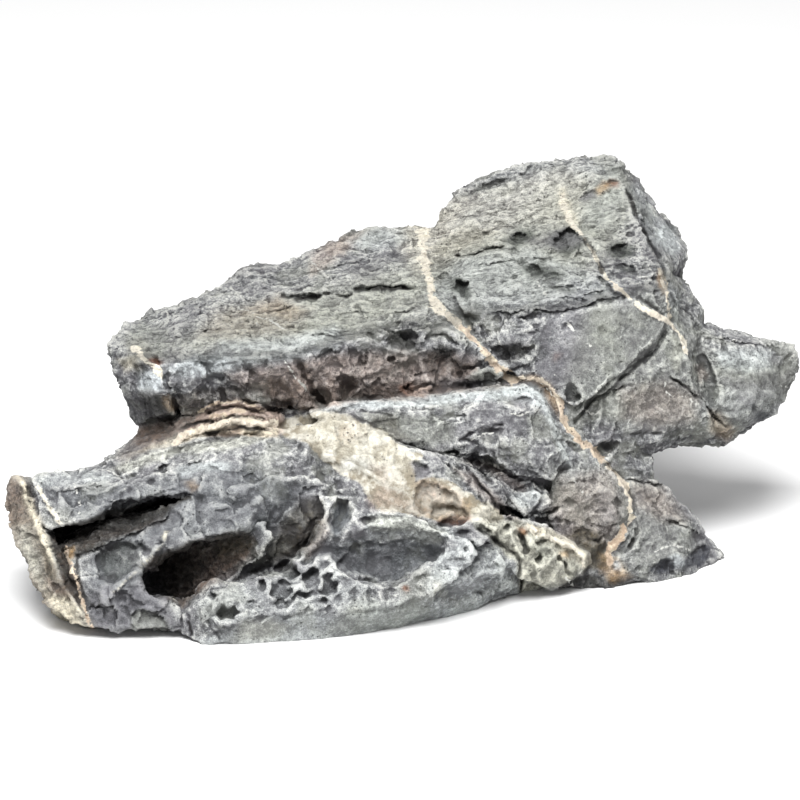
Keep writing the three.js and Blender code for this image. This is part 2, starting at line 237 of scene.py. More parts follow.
class Skin:
    """A closed mesh as arrays: places in millimetres, normals, and each vertex's neighbours."""

    def __init__(self, mesh):
        n = len(mesh.vertices)
        self.mesh = mesh
        self.places = np.empty(n * 3, np.float32)
        mesh.vertices.foreach_get("co", self.places)
        self.places = self.places.reshape(-1, 3) / MM
        edges = np.empty(len(mesh.edges) * 2, np.int32)
        mesh.edges.foreach_get("vertices", edges)
        ends = np.concatenate([edges, edges.reshape(-1, 2)[:, ::-1].ravel()]).reshape(-1, 2)
        ends = ends[np.argsort(ends[:, 0], kind="stable")]
        self.neighbours = ends[:, 1]
        self.degree = np.bincount(ends[:, 0], minlength=n)
        self.first = np.concatenate([[0], np.cumsum(self.degree)[:-1]])
        self.update()

    def update(self):
        """Writes the places back and reads the new normals."""
        self.mesh.vertices.foreach_set("co", (self.places * MM).ravel())
        self.mesh.update()
        normals = np.empty(len(self.places) * 3, np.float32)
        self.mesh.vertex_normals.foreach_get("vector", normals)
        self.normals = normals.reshape(-1, 3)

    def blurred(self, values, passes):
        """Each value moved to the mean of its neighbours' values, `passes` times."""
        values = values.astype(np.float32)
        degree = self.degree.astype(np.float32).reshape(-1, *[1] * (values.ndim - 1))
        for _ in range(passes):
            values = np.add.reduceat(values[self.neighbours], self.first, axis=0) / degree
        return values

    def shift(self, move):
        """Moves the vertices, and keeps them from going below the bed."""
        self.places += move.astype(np.float32)
        self.places[:, 2] = np.maximum(self.places[:, 2], 0)
        self.update()

    def push(self, heights):
        """Moves each vertex out along its normal by its height in millimetres."""
        self.shift(self.normals * heights[:, None])

    def sharpen(self, passes, amount):
        """Raises edges and deepens creases: pushes each vertex away from the mean of its surroundings,
        by 0.7 mm in and 0.45 mm out at most."""
        swell = ((self.places - self.blurred(self.places, passes)) * self.normals).sum(1)
        self.push(np.clip(swell * amount, -0.7, 0.45))

    def heave(self, heights):
        """Moves each vertex by its height along the mean normal of its surroundings, so that lips keep
        their outline."""
        facing = self.blurred(self.normals, 30)
        facing /= np.maximum(np.linalg.norm(facing, axis=1), 0.4)[:, None]
        self.shift(facing * heights[:, None])

    def front_share(self):
        """1 where the stone broadly faces the viewer of its show face, and 0 where it faces away."""
        facing = self.blurred(self.normals, 24) @ sight_direction(0, 0, 1)
        return smoothstep(-0.25, 0.1, facing)

    def store(self, name, values):
        """Keeps a number for each vertex, for the finish to read."""
        attribute = self.mesh.attributes.new(name, "FLOAT", "POINT")
        attribute.data.foreach_set("value", values.astype(np.float32))

    def store_colour(self, name, values):
        """Keeps a linear RGBA for each vertex."""
        attribute = self.mesh.attributes.new(name, "FLOAT_COLOR", "POINT")
        attribute.data.foreach_set("color", values.astype(np.float32).ravel())


class Sight:
    """The show face as it is sighted: across and up in millimetres, and what of the skin it shows. The
    places waver by about that many millimetres, so that no outline is drawn cleanly."""

    def __init__(self, skin, waver=0.9):
        c, s = math.cos(LEAN_BACK), math.sin(LEAN_BACK)
        x, y, z = skin.places.T
        z = z - BASE_DROP
        self.near = z * s - y * c
        spread = SIGHT_DISTANCE / (SIGHT_DISTANCE - self.near)
        wobble = [noise(skin.places, 5.0, 900 + k) + 0.5 * noise(skin.places, 2.0, 910 + k) for k in (0, 1)]
        self.across = x * spread + wobble[0] * waver
        self.up = (y * s + z * c) * spread + wobble[1] * waver
        self.front = skin.front_share()
        self.patchy = noise(skin.places, 7.0, 920) + 0.5 * noise(skin.places, 2.6, 921)

    def within(self, points, margin):
        """The vertices of the show face in the points' box and its margin, and their [across, up]."""
        p = np.asarray(points, float)
        (left, low), (right, high) = p.min(0) - margin, p.max(0) + margin
        boxed = (self.across > left) & (self.across < right) & (self.up > low) & (self.up < high)
        chosen = np.nonzero(boxed & (self.front > 0))[0]
        return chosen, np.stack([self.across[chosen], self.up[chosen]], 1)

    def along(self, points, margin):
        """For the vertices near a line: which, distance, side (+ is left) and share along."""
        chosen, q = self.within(points, margin)
        gaps, shares, sides = spans(points, q)
        if not len(chosen):
            return chosen, *np.zeros((3, 0))
        best = np.abs(gaps).argmin(0)
        every = np.arange(len(q))
        lengths = np.hypot(*np.diff(np.asarray(points, float), axis=0).T)
        share = (np.cumsum(lengths) - lengths)[best] + shares[best, every] * lengths[best]
        return chosen, gaps[best, every], sides[best, every], share / lengths.sum()

    def ring(self, outline, margin):
        """For the vertices in and near an outline: which, distance from its upper side, distance from
        the rest of it, and whether inside."""
        closed = np.array([*outline, outline[0]], float)
        chosen, q = self.within(closed, margin)
        gaps, _, _ = spans(closed, q)
        (ax, ay), (bx, by) = closed[:-1].T, closed[1:].T
        turning = np.sign((ax * by - bx * ay).sum())
        upper = -(bx - ax) * turning / np.hypot(bx - ax, by - ay) > 0.3
        x, y = q.T
        crosses = (ay[:, None] > y) != (by[:, None] > y)
        slope = (bx - ax) / np.where(ay == by, 1, by - ay)
        inside = (crosses & (x < slope[:, None] * (y - ay[:, None]) + ax[:, None])).sum(0) % 2 == 1
        return chosen, gaps[upper].min(0), gaps[~upper].min(0), inside

    def region(self, outline, soft):
        """1 inside the outline and 0 outside it, over a soft edge of that width."""
        result = np.zeros(len(self.across), np.float32)
        chosen, upper, lower, inside = self.ring(outline, soft)
        signed = np.minimum(upper, lower) * np.where(inside, 1, -1)
        result[chosen] = smoothstep(-soft / 2, soft / 2, signed) * self.front[chosen]
        return result


def spans(points, q):
    """For each span of a line and each place q: distance, share along the span, and side."""
    p = np.asarray(points, float)
    a, d = p[:-1, None], np.diff(p, axis=0)[:, None]
    t = np.clip(((q - a) * d).sum(2) / (d * d).sum(2), 0, 1)
    gap = q - a - t[:, :, None] * d
    side = np.sign(d[..., 0] * gap[..., 1] - d[..., 1] * gap[..., 0])
    return np.hypot(gap[..., 0], gap[..., 1]), t, side


# ---------------------------------------------------------------- what lies on the show face, in mm

# Outlines and lines are [across, up] points, read square to the face.

# Hollows: depth, width of the wall at the upper side and at the lower side, then the outline.
DEEP_HOLLOWS = [
    # the roof and the tower's top
    (2.6, 0.8, 3.0, [(21, 76.5), (27, 79.2), (33, 79.8), (40, 80.5), (45, 84), (44, 85.4), (38, 84),
     (32, 82), (25, 80)]),
    (3.2, 0.8, 2.4, [(40, 60), (42, 62), (46, 63.6), (49.5, 63), (49, 60.4), (44, 58.8)]),
    (4.0, 1.0, 3.0, [(56, 60), (58, 57.5), (62, 56), (66, 58.5), (69, 61), (67, 64), (64, 65.5),
     (61, 63.5)]),
    (3.0, 0.8, 2.0, [(47, 50), (50, 51), (53, 50.4), (56, 48.4), (60, 48), (61, 46.8), (55, 47), (50, 46.6),
     (48, 48)]),
    (3.0, 0.8, 3.0, [(80, 57), (83, 59.7), (86, 59.5), (88, 57.5), (85, 55), (82, 54)]),
    (3.6, 0.8, 1.6, [(20, 44), (23, 45.5), (26, 44.2), (26.7, 41), (24, 38.5), (22, 39.5), (21.5, 42)]),
    (2.4, 0.8, 1.4, [(-18, 42.2), (-12, 43), (-4, 43.5), (3, 43.2), (6.2, 42.4), (3, 41.4), (-5, 41),
     (-12, 41), (-17, 41)]),
    (2.4, 0.8, 1.4, [(-45, 39.9), (-41, 40), (-34, 40), (-28, 40.6), (-31, 39), (-34, 37.3), (-38, 37.4),
     (-42, 38.6)]),
    # the row under the tower's lip
    (3.0, 0.8, 2.0, [(23, 32.6), (26, 33.3), (30, 32), (30.4, 29.5), (27, 26.6), (25, 28)]),
    (2.4, 0.8, 1.6, [(29.5, 27.6), (31, 29), (33, 27.8), (33.8, 25), (32, 23), (30, 25)]),
    (1.8, 0.8, 2.0, [(34, 31), (37, 32.2), (39.5, 31), (39, 28.6), (35, 28.6)]),
    (1.8, 0.8, 2.2, [(43, 31.6), (48, 32.8), (54, 32.4), (54, 29.6), (48, 29.2), (44, 29.6)]),
    # the undercut's scoops
    (3.0, 1.4, 3.0, [(-6.5, 25.5), (-4, 26.4), (0, 26), (5, 26.4), (7.2, 24), (6.8, 21), (4, 19), (1, 18.4),
     (-3, 20), (-5.4, 22)]),
    (2.0, 0.8, 2.6, [(-16, 25), (-12, 26), (-8.6, 25.8), (-8, 22), (-12, 22.4)]),
    (6.5, 1.0, 2.6, [(9, 16), (11.3, 19), (13.6, 21.4), (16.4, 22), (20.4, 20.6), (22.4, 16.4), (23.6, 14),
     (28.4, 13.4), (29.3, 11), (23.4, 7), (18.4, 10.4), (13.6, 6.6), (10.2, 9.2)]),
    (4.4, 1.0, 3.0, [(33, 20), (38, 21.8), (45, 22), (51, 21.4), (51, 17), (46, 15), (41, 13), (38, 14),
     (35.6, 17)]),
    (4.2, 1.0, 1.2, [(-40, 15.4), (-36, 14.6), (-35, 9), (-33, 5.5), (-30, 3.6), (-28.6, 1), (-26.4, -3),
     (-30, -2.4), (-34, 2.5), (-37, 8), (-39.6, 12)]),
    (4.6, 1.0, 2.6, [(-24, 8.6), (-21, 9.4), (-17, 8.2), (-15, 6.5), (-17, 3), (-20, 0), (-22.6, -1.6),
     (-23.6, 3)]),
    (2.8, 1.0, 2.6, [(-49.4, 7.4), (-46, 8.8), (-43, 6.8), (-40, 3), (-44, 1.6), (-48.6, 2)]),
    (4.6, 0.8, 0.8, [(-51.6, 0.6), (-47, 1), (-41.4, 2.4), (-40, 0), (-38, -3), (-41, -5), (-46, -3),
     (-50, -1)]),
    (2.2, 0.8, 2.0, [(-66.4, 6), (-63.6, 7), (-60, 5), (-60.6, 2.6), (-65, 2.6)]),
    (1.8, 1.0, 2.0, [(-73, 7.6), (-69.6, 9.4), (-66.2, 8), (-66.6, 6.2), (-70.6, 5.6)]),
    (2.8, 0.8, 0.8, [(-69.4, 3.6), (-66.4, 4), (-65.4, 1), (-67, -0.8), (-69.2, 0)]),
    (1.8, 1.4, 2.0, [(-60.6, 12), (-57, 14.4), (-53.4, 12.6), (-54, 9), (-58, 8)]),
    (1.8, 1.2, 1.6, [(-86.6, 3), (-84, 5.2), (-80.8, 4), (-81.4, 0.6), (-85, 0)]),
    (1.6, 1.2, 2.0, [(-80, 5), (-76, 6.4), (-71.6, 4), (-72, 1), (-77, 1.4)]),
    (2.6, 0.8, 0.8, [(-89.6, 10), (-86.8, 9.6), (-86.6, 5), (-88, 2.4), (-89.4, 5)]),
    (5.0, 0.8, 1.2, [(-93, -8), (-88, -6.2), (-84, -3.6), (-80, -4.4), (-75.6, -5.4), (-80, -7.6),
     (-87, -9)]),
    (2.6, 1.0, 1.6, [(-31, 18.6), (-27, 20), (-23, 18), (-21.6, 12), (-24, 9.6), (-28, 12), (-30.6, 14)]),
    (2.2, 1.0, 1.6, [(-20, 17.6), (-17, 20), (-12.6, 17), (-11, 12), (-14, 10.4), (-18, 12)]),
    (2.4, 1.0, 1.4, [(-5.6, 17), (-1.4, 16.4), (-2.6, 13.4), (-4.8, 13.8)]),
    (2.2, 1.0, 1.4, [(1, 13.6), (5, 15.4), (8.4, 13), (8, 8.6), (4, 7.6), (1.6, 9.6)]),
    (1.8, 1.0, 1.2, [(-12, 6.4), (-8, 8), (-5.4, 5.6), (-7.4, 2.8), (-11.6, 3.4)]),
    (2.4, 0.8, 0.8, [(-1, 5.6), (3, 6.4), (5, 4.4), (2.6, 2.2), (-0.4, 3)]),
    # under the boulder and over the shelf
    (3.0, 0.8, 0.8, [(19, 5.2), (24, 6.4), (30, 5.6), (37, 6.4), (36, 4.6), (29, 3.6), (22, 3.6)]),
    # the shelf's shadow line and the ribs' gaps
    (5.0, 0.6, 0.8, [(8, -18.6), (15, -19.4), (22.5, -21), (22, -22.2), (15, -21.2), (9, -20.2)]),
    (5.6, 0.6, 1.0, [(23.6, -21.2), (28, -20.4), (34, -22), (40, -25.4), (46, -29.6), (44, -30),
     (40, -28.6), (35, -26.4), (30, -25), (26, -24)]),
    (3.4, 0.8, 1.0, [(50, -31.6), (54, -31.2), (56.4, -33.4), (55, -36.6), (52.8, -34.4)]),
    (3.8, 0.6, 1.0, [(47.6, -44.8), (51, -42), (57, -41.4), (62, -39.8), (60, -42.6), (54, -44.6)]),
    (1.6, 1.0, 1.6, [(3.2, -23.6), (6, -23.2), (10.4, -25), (12.4, -27.5), (9.4, -29.8), (6, -30.2),
     (4, -28.6), (4.6, -26)]),
    (2.8, 1.4, 4.0, [(29, -10.6), (34, -9.6), (39.6, -9.8), (39.4, -13), (36, -17), (31, -17), (28, -14)]),
    (2.4, 0.8, 1.6, [(35.6, -32), (39, -33.4), (43.8, -40), (46.6, -45.4), (43.6, -44), (39, -38)]),
    # the calcite's tan hollow and the hole under it
    (2.8, 4.0, 3.0, [(4.4, -34), (8, -30.8), (13, -31), (18, -33), (23, -37), (25, -41), (20, -43.6),
     (13, -44), (7, -43), (4.6, -39)]),
    (1.8, 2.0, 1.2, [(12, -40.8), (18, -39.2), (24.6, -40.4), (27.6, -43), (25, -45), (17, -45.6),
     (12.6, -43.8)]),
    (2.6, 0.8, 0.7, [(13.6, -46), (17, -44.8), (21, -43.6), (27, -43.6), (27.4, -45), (23, -47.2),
     (17, -47.6)]),
    # the arch and the bowl
    (5.6, 3.4, 4.0, [(-27.4, -41), (-23.6, -37), (-19, -37.6), (-17, -42), (-18.6, -46.8), (-21.6, -50.4),
     (-25.4, -51), (-28.2, -47.6), (-28, -44)]),
    (2.4, 1.2, 1.2, [(-15.4, -45.6), (-12, -44.2), (-8.6, -44), (-11, -47), (-13.4, -48.8)]),
    (9.0, 17.0, 2.2, [(-40, -62), (-36, -55), (-30, -50), (-22, -48), (-14, -47), (-4, -46), (6, -46.6),
     (14, -49.4), (19, -53.4), (17, -58.8), (9, -64.4), (2, -69.4), (-4, -71), (-10, -69.6), (-16, -67),
     (-21, -65.4), (-24, -63), (-27, -59.2), (-31, -59), (-35, -62.4)]),
    (1.6, 1.2, 1.6, [(-20.4, -55.4), (-17, -53.8), (-14, -55), (-14.4, -58.6), (-19.4, -59)]),
    (0.7, 2.0, 2.0, [(-13, -59), (-9.4, -57.6), (-8.6, -62), (-9.6, -66), (-13, -65)]),
    (0.7, 2.0, 2.0, [(-7.4, -60), (-3, -59), (0.6, -62), (-1, -66.6), (-5, -67.6), (-8, -65)]),
    (4.0, 2.4, 0.8, [(-48.5, -64), (-46, -61.4), (-42, -60.6), (-38.6, -62.6), (-37.6, -66), (-40.6, -68),
     (-44, -66.8)]),
    # the front lobe's dishes
    (4.6, 3.0, 1.6, [(-37.6, -68.8), (-36.4, -64.6), (-33.6, -62.8), (-31, -63.6), (-29.6, -68),
     (-31.6, -72), (-35.6, -72.2)]),
    (4.6, 3.0, 1.6, [(-30.2, -67), (-28, -64.6), (-25, -65.4), (-22.6, -70), (-25, -73.6), (-29, -73)]),
    (3.4, 1.4, 1.4, [(-53.8, -67.4), (-51.2, -67), (-50, -70.5), (-51.8, -72.4), (-54.4, -70.6)]),
    (4.6, 2.8, 1.6, [(-49.4, -69), (-45, -67.4), (-41, -69), (-39.6, -72), (-42.4, -76), (-46, -77.4),
     (-49.4, -74)]),
    (3.6, 0.9, 1.4, [(-49.6, -77), (-46, -79.2), (-42, -78.8), (-39, -75.8), (-34, -74.8), (-30, -73.4),
     (-25, -72.8), (-29, -71.4), (-35, -72), (-40, -73), (-43, -76), (-47, -75.4)]),
    (4.0, 1.4, 1.2, [(-70, -80.6), (-67, -77.8), (-62, -77.8), (-59.6, -80), (-62.4, -83), (-67.4, -83.6)]),
    # the tip's holes
    (3.6, 1.0, 1.0, [(45, -51), (46.4, -49.6), (48.4, -53), (49, -57.4), (47.4, -59), (45.4, -55)]),
    (2.6, 0.8, 0.8, [(38.4, -47.6), (41, -46.6), (42.6, -48.8), (40.6, -50.4), (38.6, -49.8)]),
    (2.6, 0.8, 0.8, [(29.4, -46), (33.6, -48), (36, -51.4), (39, -54.8), (36.4, -54.4), (32.4, -50.6),
     (29.6, -48.6)]),
    (2.6, 0.8, 0.8, [(51, -60), (53.4, -57.6), (55, -60), (53.4, -62), (51, -61.6)]),
    (2.2, 0.8, 0.8, [(50.6, -54), (54, -51.8), (57, -53), (54, -54.4), (51.4, -55.6)]),
    (2.6, 0.8, 1.2, [(48.4, -64.6), (50, -65), (50.6, -68.4), (49, -68.6)]),
    (3.0, 0.8, 1.4, [(58.6, -56.6), (61, -59), (64, -64), (66, -66.6), (63, -65.4), (60, -60.6)]),
    (1.6, 0.8, 0.8, [(21, -49.6), (25.4, -48), (26.4, -50), (23.4, -52.4), (20.4, -51)]),
    # the left block
    (2.2, 0.8, 1.6, [(-105.4, -30), (-103, -27), (-98, -25), (-94, -23), (-97, -27), (-102, -29.6)]),
    (2.4, 0.8, 1.6, [(-94.4, -27.8), (-91, -25), (-88, -23), (-83.6, -20.6), (-85.8, -24), (-89, -28.4)]),
    (1.8, 0.8, 1.2, [(-98, -31.4), (-93, -29.8), (-93.6, -32.2)]),
    (1.8, 0.8, 1.2, [(-103.6, -33.8), (-101.8, -31), (-101, -33.6), (-102.4, -35)]),
    (3.0, 3.0, 2.4, [(-116, -60), (-112, -54.6), (-104, -53), (-97, -54), (-92.6, -57), (-98, -63.4),
     (-104, -68.6), (-109, -71.6), (-114, -68)]),
    (1.6, 1.2, 2.0, [(-110, -73), (-107, -71), (-103, -72.4), (-103, -76.6), (-107, -77.6)]),
    (2.0, 0.8, 1.2, [(-118.6, -78), (-116.6, -76.4), (-115, -79.6), (-117, -81)]),
    (2.6, 1.0, 1.4, [(-130.6, -57), (-128, -60), (-125.4, -66), (-122, -72), (-120, -77), (-123, -76.4),
     (-127, -70.4), (-130, -64)]),
    (2.4, 0.7, 1.6, [(-132, -52), (-126, -51.4), (-120, -50), (-113, -48.8), (-104, -48.8), (-99, -47.4),
     (-101, -50), (-107, -53), (-112, -51.6), (-117, -54), (-120, -56.8), (-123, -55), (-128, -54.4)]),
    # the wall, the foot and the tail
    (2.4, 0.8, 2.4, [(73, -17.6), (76, -15.3), (80, -14.6), (83.6, -16.4), (82.6, -19), (78, -20.2),
     (75, -19.4)]),
    (2.0, 0.8, 1.6, [(62, -15), (65, -17), (69.2, -18.5), (67.4, -20.4), (64, -18.6)]),
    (2.0, 0.6, 0.8, [(67, -25), (69.6, -24), (71, -25.4), (68.6, -26.4)]),
    (2.4, 0.8, 1.6, [(90.4, -42), (90.8, -46), (88.6, -51), (85.4, -56.6), (83.6, -58.4), (88, -55.6),
     (91, -49)]),
    (2.0, 1.0, 2.0, [(78.4, -40), (81.4, -36), (84.6, -39), (83.8, -45), (80.4, -46.6), (78.4, -43.6)]),
    (2.0, 0.8, 2.4, [(62, -49.6), (67, -47), (73, -48.4), (74, -51.6), (68, -53.6), (63.4, -52.4)]),
    (1.6, 0.8, 1.2, [(100.4, -45.6), (105, -45.8), (109.4, -48.2), (106, -48.4), (101.6, -47.4)]),
    (1.6, 0.7, 2.4, [(94, -64.8), (98, -61), (102, -59.4), (105, -63), (104, -65.4), (98, -66.8)]),
    (1.6, 0.7, 2.4, [(107, -60), (111, -57), (115.4, -54.4), (118.4, -55.6), (117, -60), (114, -63),
     (108, -64.2)]),
    # the overhang's shadow gap, the shoulder and the nose
    (2.6, 0.8, 3.4, [(65, -9), (70, -2.4), (74, 2.2), (78, 6.8), (83, 9.8), (86, 10.8), (89, 14.4),
     (93, 18.9), (98, 23.9), (101.4, 28.6), (101.6, 25), (98, 18), (93, 13.6), (88, 10), (84, 7.6),
     (80, 5.4), (78, 2), (76, 3.4), (74, -1), (71, -5), (67, -10.4)]),
    (2.4, 0.8, 3.0, [(78, 3.4), (80, 5.6), (84, 6.4), (88, 5.6), (85, 2.4), (81, -0.4), (78, 0.6)]),
    (2.8, 2.6, 0.7, [(62, 4), (64, 7.6), (67, 7), (68.6, 3), (68.2, 0), (66, -1.2), (63.4, -0.6)]),
    (2.0, 0.8, 0.8, [(103, 34.6), (104, 37.4), (105.6, 36), (105, 34.2)]),
    (2.2, 0.8, 1.0, [(102, 31.2), (103.2, 32.6), (104.4, 30), (103, 28.8)]),
    (1.8, 1.0, 1.4, [(111.6, 12), (113.4, 13.4), (116, 10), (115.6, 6.8), (112.8, 7)]),
    (2.0, 0.8, 1.2, [(121, 22), (122.4, 23.4), (124.4, 19), (124, 16), (121.6, 16.4)]),
    (1.8, 0.7, 2.0, [(133.4, -5), (136, -3.6), (140, -4.6), (140.6, -6.6), (136, -9.2), (133.8, -8)]),
    (1.4, 0.7, 1.2, [(131.6, -1), (134.4, -0.4), (135, -4), (132.6, -4)]),
]

# Hollows with black depths: the slit and the cavity, over the ones that the solid has.
VOID_HOLLOWS = [
    (13.0, 0.6, 0.7, [(-134.6, -50), (-124, -47.4), (-113.2, -43.4), (-106, -38.6), (-93, -36.8),
     (-80.3, -35), (-76.4, -36.4), (-84, -39.8), (-93, -41.8), (-100.4, -45.3), (-107.7, -47.4),
     (-118.7, -47.4), (-126, -51.4), (-133.6, -52)]),
    (14.0, 0.8, 6.0, [(-98.7, -67.1), (-94.7, -60.6), (-89.8, -57.4), (-81.7, -54.9), (-74.4, -52.5),
     (-66.3, -50.1), (-59.8, -49.6), (-54.9, -51.7), (-54.1, -54.9), (-58.2, -59), (-66.3, -64.7),
     (-72, -68.7), (-76, -73.6), (-81.7, -79.3), (-86.6, -79.3), (-89, -75.2), (-94.7, -72.8),
     (-98, -70.3)]),
]

# Shallow pits: depth, upper wall, lower wall, outline.
SHALLOW_HOLLOWS = [
    (1.2, 0.6, 1.0, [(28, 71.6), (30, 72.2), (32, 70.6), (30.4, 69.8)]),
    (1.0, 0.6, 1.0, [(29, 66), (32, 66.8), (34.6, 66.2), (32, 65.2)]),
    (1.2, 0.6, 1.2, [(49.6, 61), (51.6, 63), (54, 64), (52.4, 61.4)]),
    (1.4, 0.7, 1.2, [(65, 54), (67, 56.2), (69, 55.6), (69.4, 53.2), (66, 52.6)]),
    (1.1, 0.7, 1.4, [(41, 57), (43.6, 58), (46.6, 56.8), (45, 55), (42.4, 55.4)]),
    (1.5, 0.7, 1.2, [(73, 46.5), (76, 47.5), (79, 45.2), (79, 43.4), (76, 43.6)]),
    (1.3, 0.7, 1.4, [(81, 51.5), (84, 52.2), (88, 50.7), (91, 47), (89, 45.5), (85, 48), (82, 49.5)]),
    (1.1, 0.7, 1.2, [(13.4, 47), (17, 48.6), (20, 47.2), (19, 44.6), (15, 44.4)]),
    (1.3, 0.7, 1.2, [(55, 42), (60, 43.6), (66, 43.6), (68, 42), (64, 40.5), (58, 41)]),
    (0.9, 0.6, 1.0, [(32, 43.4), (35, 44.8), (38.4, 43.6), (36, 42), (33, 42)]),
    (1.5, 0.7, 1.4, [(67, 75), (70, 78.6), (74, 79.8), (75.2, 78), (72, 75), (69, 74.4)]),
    (1.2, 0.7, 1.0, [(76, 81), (79, 83.6), (83, 83), (84, 81), (80, 80.6)]),
    (1.2, 0.6, 0.9, [(-66, 25), (-63, 26.2), (-61, 25.4), (-63, 24.4)]),
    (1.4, 0.6, 1.0, [(-58.6, 23), (-57, 24.6), (-55, 22.6), (-56.6, 21.4)]),
    (1.2, 0.6, 0.9, [(-46.2, 22.6), (-44.8, 23), (-43, 20.4), (-44.4, 20.8)]),
    (1.2, 0.6, 0.8, [(-75, 26), (-74, 26.6), (-72.8, 25.4), (-74.4, 24.8)]),
    (1.4, 0.6, 0.9, [(-94.6, 14), (-92.8, 16), (-90, 14.4), (-91.6, 12.6)]),
    (1.2, 0.6, 0.8, [(-94, 18.4), (-91.6, 18.6), (-89.6, 17.6), (-92, 17.4)]),
    (1.2, 0.6, 0.8, [(-91, 31), (-89, 31.6), (-88, 30.8), (-90, 30.4)]),
    (1.2, 0.6, 0.8, [(-77.6, 33), (-75.6, 32.8), (-75, 31.6), (-77, 32)]),
    (1.2, 0.6, 1.0, [(-60, 29.8), (-57, 30), (-56.6, 28.8), (-59, 28.8)]),
    (1.2, 0.6, 1.2, [(-32, 24.6), (-29.6, 24.8), (-28.4, 23.4), (-31, 22.6)]),
    (1.0, 0.6, 1.0, [(2, 34.6), (5, 35.4), (7, 34.6), (4.6, 33.6)]),
    (1.0, 0.6, 1.0, [(-3, 29.6), (0, 30), (1.6, 29), (-1, 28.6)]),
    (1.2, 0.7, 1.2, [(41, -1), (45, 1.4), (49.6, 1), (51, -1.4), (47, -3.4), (43, -3)]),
    (1.2, 0.7, 1.2, [(19.6, -6), (23.6, -5), (26, -6.6), (23, -8), (20.4, -7.8)]),
    (1.0, 0.7, 1.2, [(17, -25), (18.6, -23.2), (20.4, -24.4), (19.6, -26.6), (17.4, -26.6)]),
    (1.0, 0.7, 1.0, [(21, -26), (22.6, -24.6), (24, -26), (22.6, -27.6)]),
    (2.2, 0.9, 1.0, [(-31.4, -76), (-29.4, -74.2), (-26.6, -75), (-27.6, -77.4), (-30.4, -77.4)]),
    (1.4, 0.8, 1.0, [(-30, -78.6), (-27, -77), (-25, -79.4), (-27.6, -81)]),
    (1.4, 1.6, 2.0, [(-14, -73), (-11, -70.8), (-8.2, -73), (-8.6, -78), (-12, -78.4)]),
    (1.4, 1.6, 2.0, [(-7.4, -72.6), (-4, -69.6), (-1, -71.6), (-2, -75.8), (-5.6, -76)]),
    (1.2, 1.2, 1.8, [(-20, -72), (-16.6, -70.4), (-14.6, -73.6), (-17, -77.4), (-19.6, -76)]),
    (1.1, 1.2, 1.8, [(-25.4, -74.6), (-22.6, -73), (-20.8, -75.6), (-22.8, -79), (-25, -78)]),
    (1.2, 0.8, 1.0, [(-38, -79.4), (-35, -78), (-33, -79.8), (-35.6, -81.4)]),
    (1.2, 0.8, 1.0, [(-45, -81.6), (-42, -80.6), (-40.6, -82.4), (-43.6, -83.8)]),
    (1.4, 0.8, 1.0, [(-59, -76.4), (-56, -75), (-53.6, -77), (-55.6, -79.4), (-58.4, -79)]),
    (2.6, 1.0, 1.2, [(-74, -75), (-71.6, -72.6), (-69, -73.4), (-70.4, -75.6)]),
    (1.4, 0.8, 1.0, [(-56, -82), (-52.6, -80.4), (-49.6, -82), (-52.6, -84.4)]),
    (1.3, 0.8, 1.4, [(30.6, -63), (36, -62), (42, -63.4), (41.6, -67.4), (36, -69), (32, -66.6)]),
    (1.0, 0.8, 1.2, [(5, -67), (9, -65.6), (13, -66.4), (10.6, -69.4), (6, -69.6)]),
    (1.0, 0.8, 1.2, [(14, -70.6), (18, -69.4), (21.6, -71.2), (18.6, -73.6), (15, -73)]),
    (1.3, 0.7, 1.0, [(27, -72.6), (29.6, -71.6), (31.4, -73), (29.4, -74.4)]),
    (0.9, 0.8, 1.2, [(18, -61), (22, -59), (26, -60.4), (24, -63.6), (19.6, -63.6)]),
    (1.1, 0.7, 1.0, [(22.4, -56), (24.4, -54.8), (26.4, -56.4), (24.4, -58)]),
    (0.9, 0.7, 0.9, [(26.4, -60.4), (28.6, -58.8), (30.6, -60.4), (28.4, -62.2)]),
    (1.0, 0.8, 1.2, [(-61, -29.6), (-56, -27.6), (-52, -29.8), (-56, -32.6)]),
    (1.0, 0.8, 1.4, [(-72, -42.6), (-66, -40), (-60.6, -42), (-65, -45), (-71, -44.6)]),
    (1.0, 0.8, 1.2, [(-94, -55), (-90.4, -52.6), (-86.6, -54), (-89, -56)]),
    (1.0, 0.8, 1.4, [(-97, -79.8), (-93, -77.6), (-88.8, -79.6), (-92, -82.6)]),
    (1.0, 0.8, 1.2, [(-126, -36), (-122, -33.6), (-118, -35.4), (-121, -38.4)]),
    (1.2, 0.6, 0.8, [(82.6, 15.2), (83.8, 15.4), (84, 14.4), (82.9, 14.2)]),
    (0.9, 2.0, 2.4, [(74, 27), (77, 28.6), (79.4, 26.4), (77.4, 23.8), (74.6, 24.4)]),
    (1.0, 0.8, 1.4, [(61, 28.6), (65, 30), (66.6, 27), (63.4, 25.4), (61, 26.4)]),
    (1.0, 0.8, 1.4, [(48, -37.4), (51, -36), (52.6, -38.4), (49.6, -40)]),
    (1.4, 0.8, 1.2, [(60, -38.6), (64, -36.4), (68.4, -38.8), (65, -41.4), (61, -41)]),
    (1.2, 0.8, 1.6, [(69, -31), (74, -29), (78.6, -32.4), (75, -36), (70, -34.6)]),
]

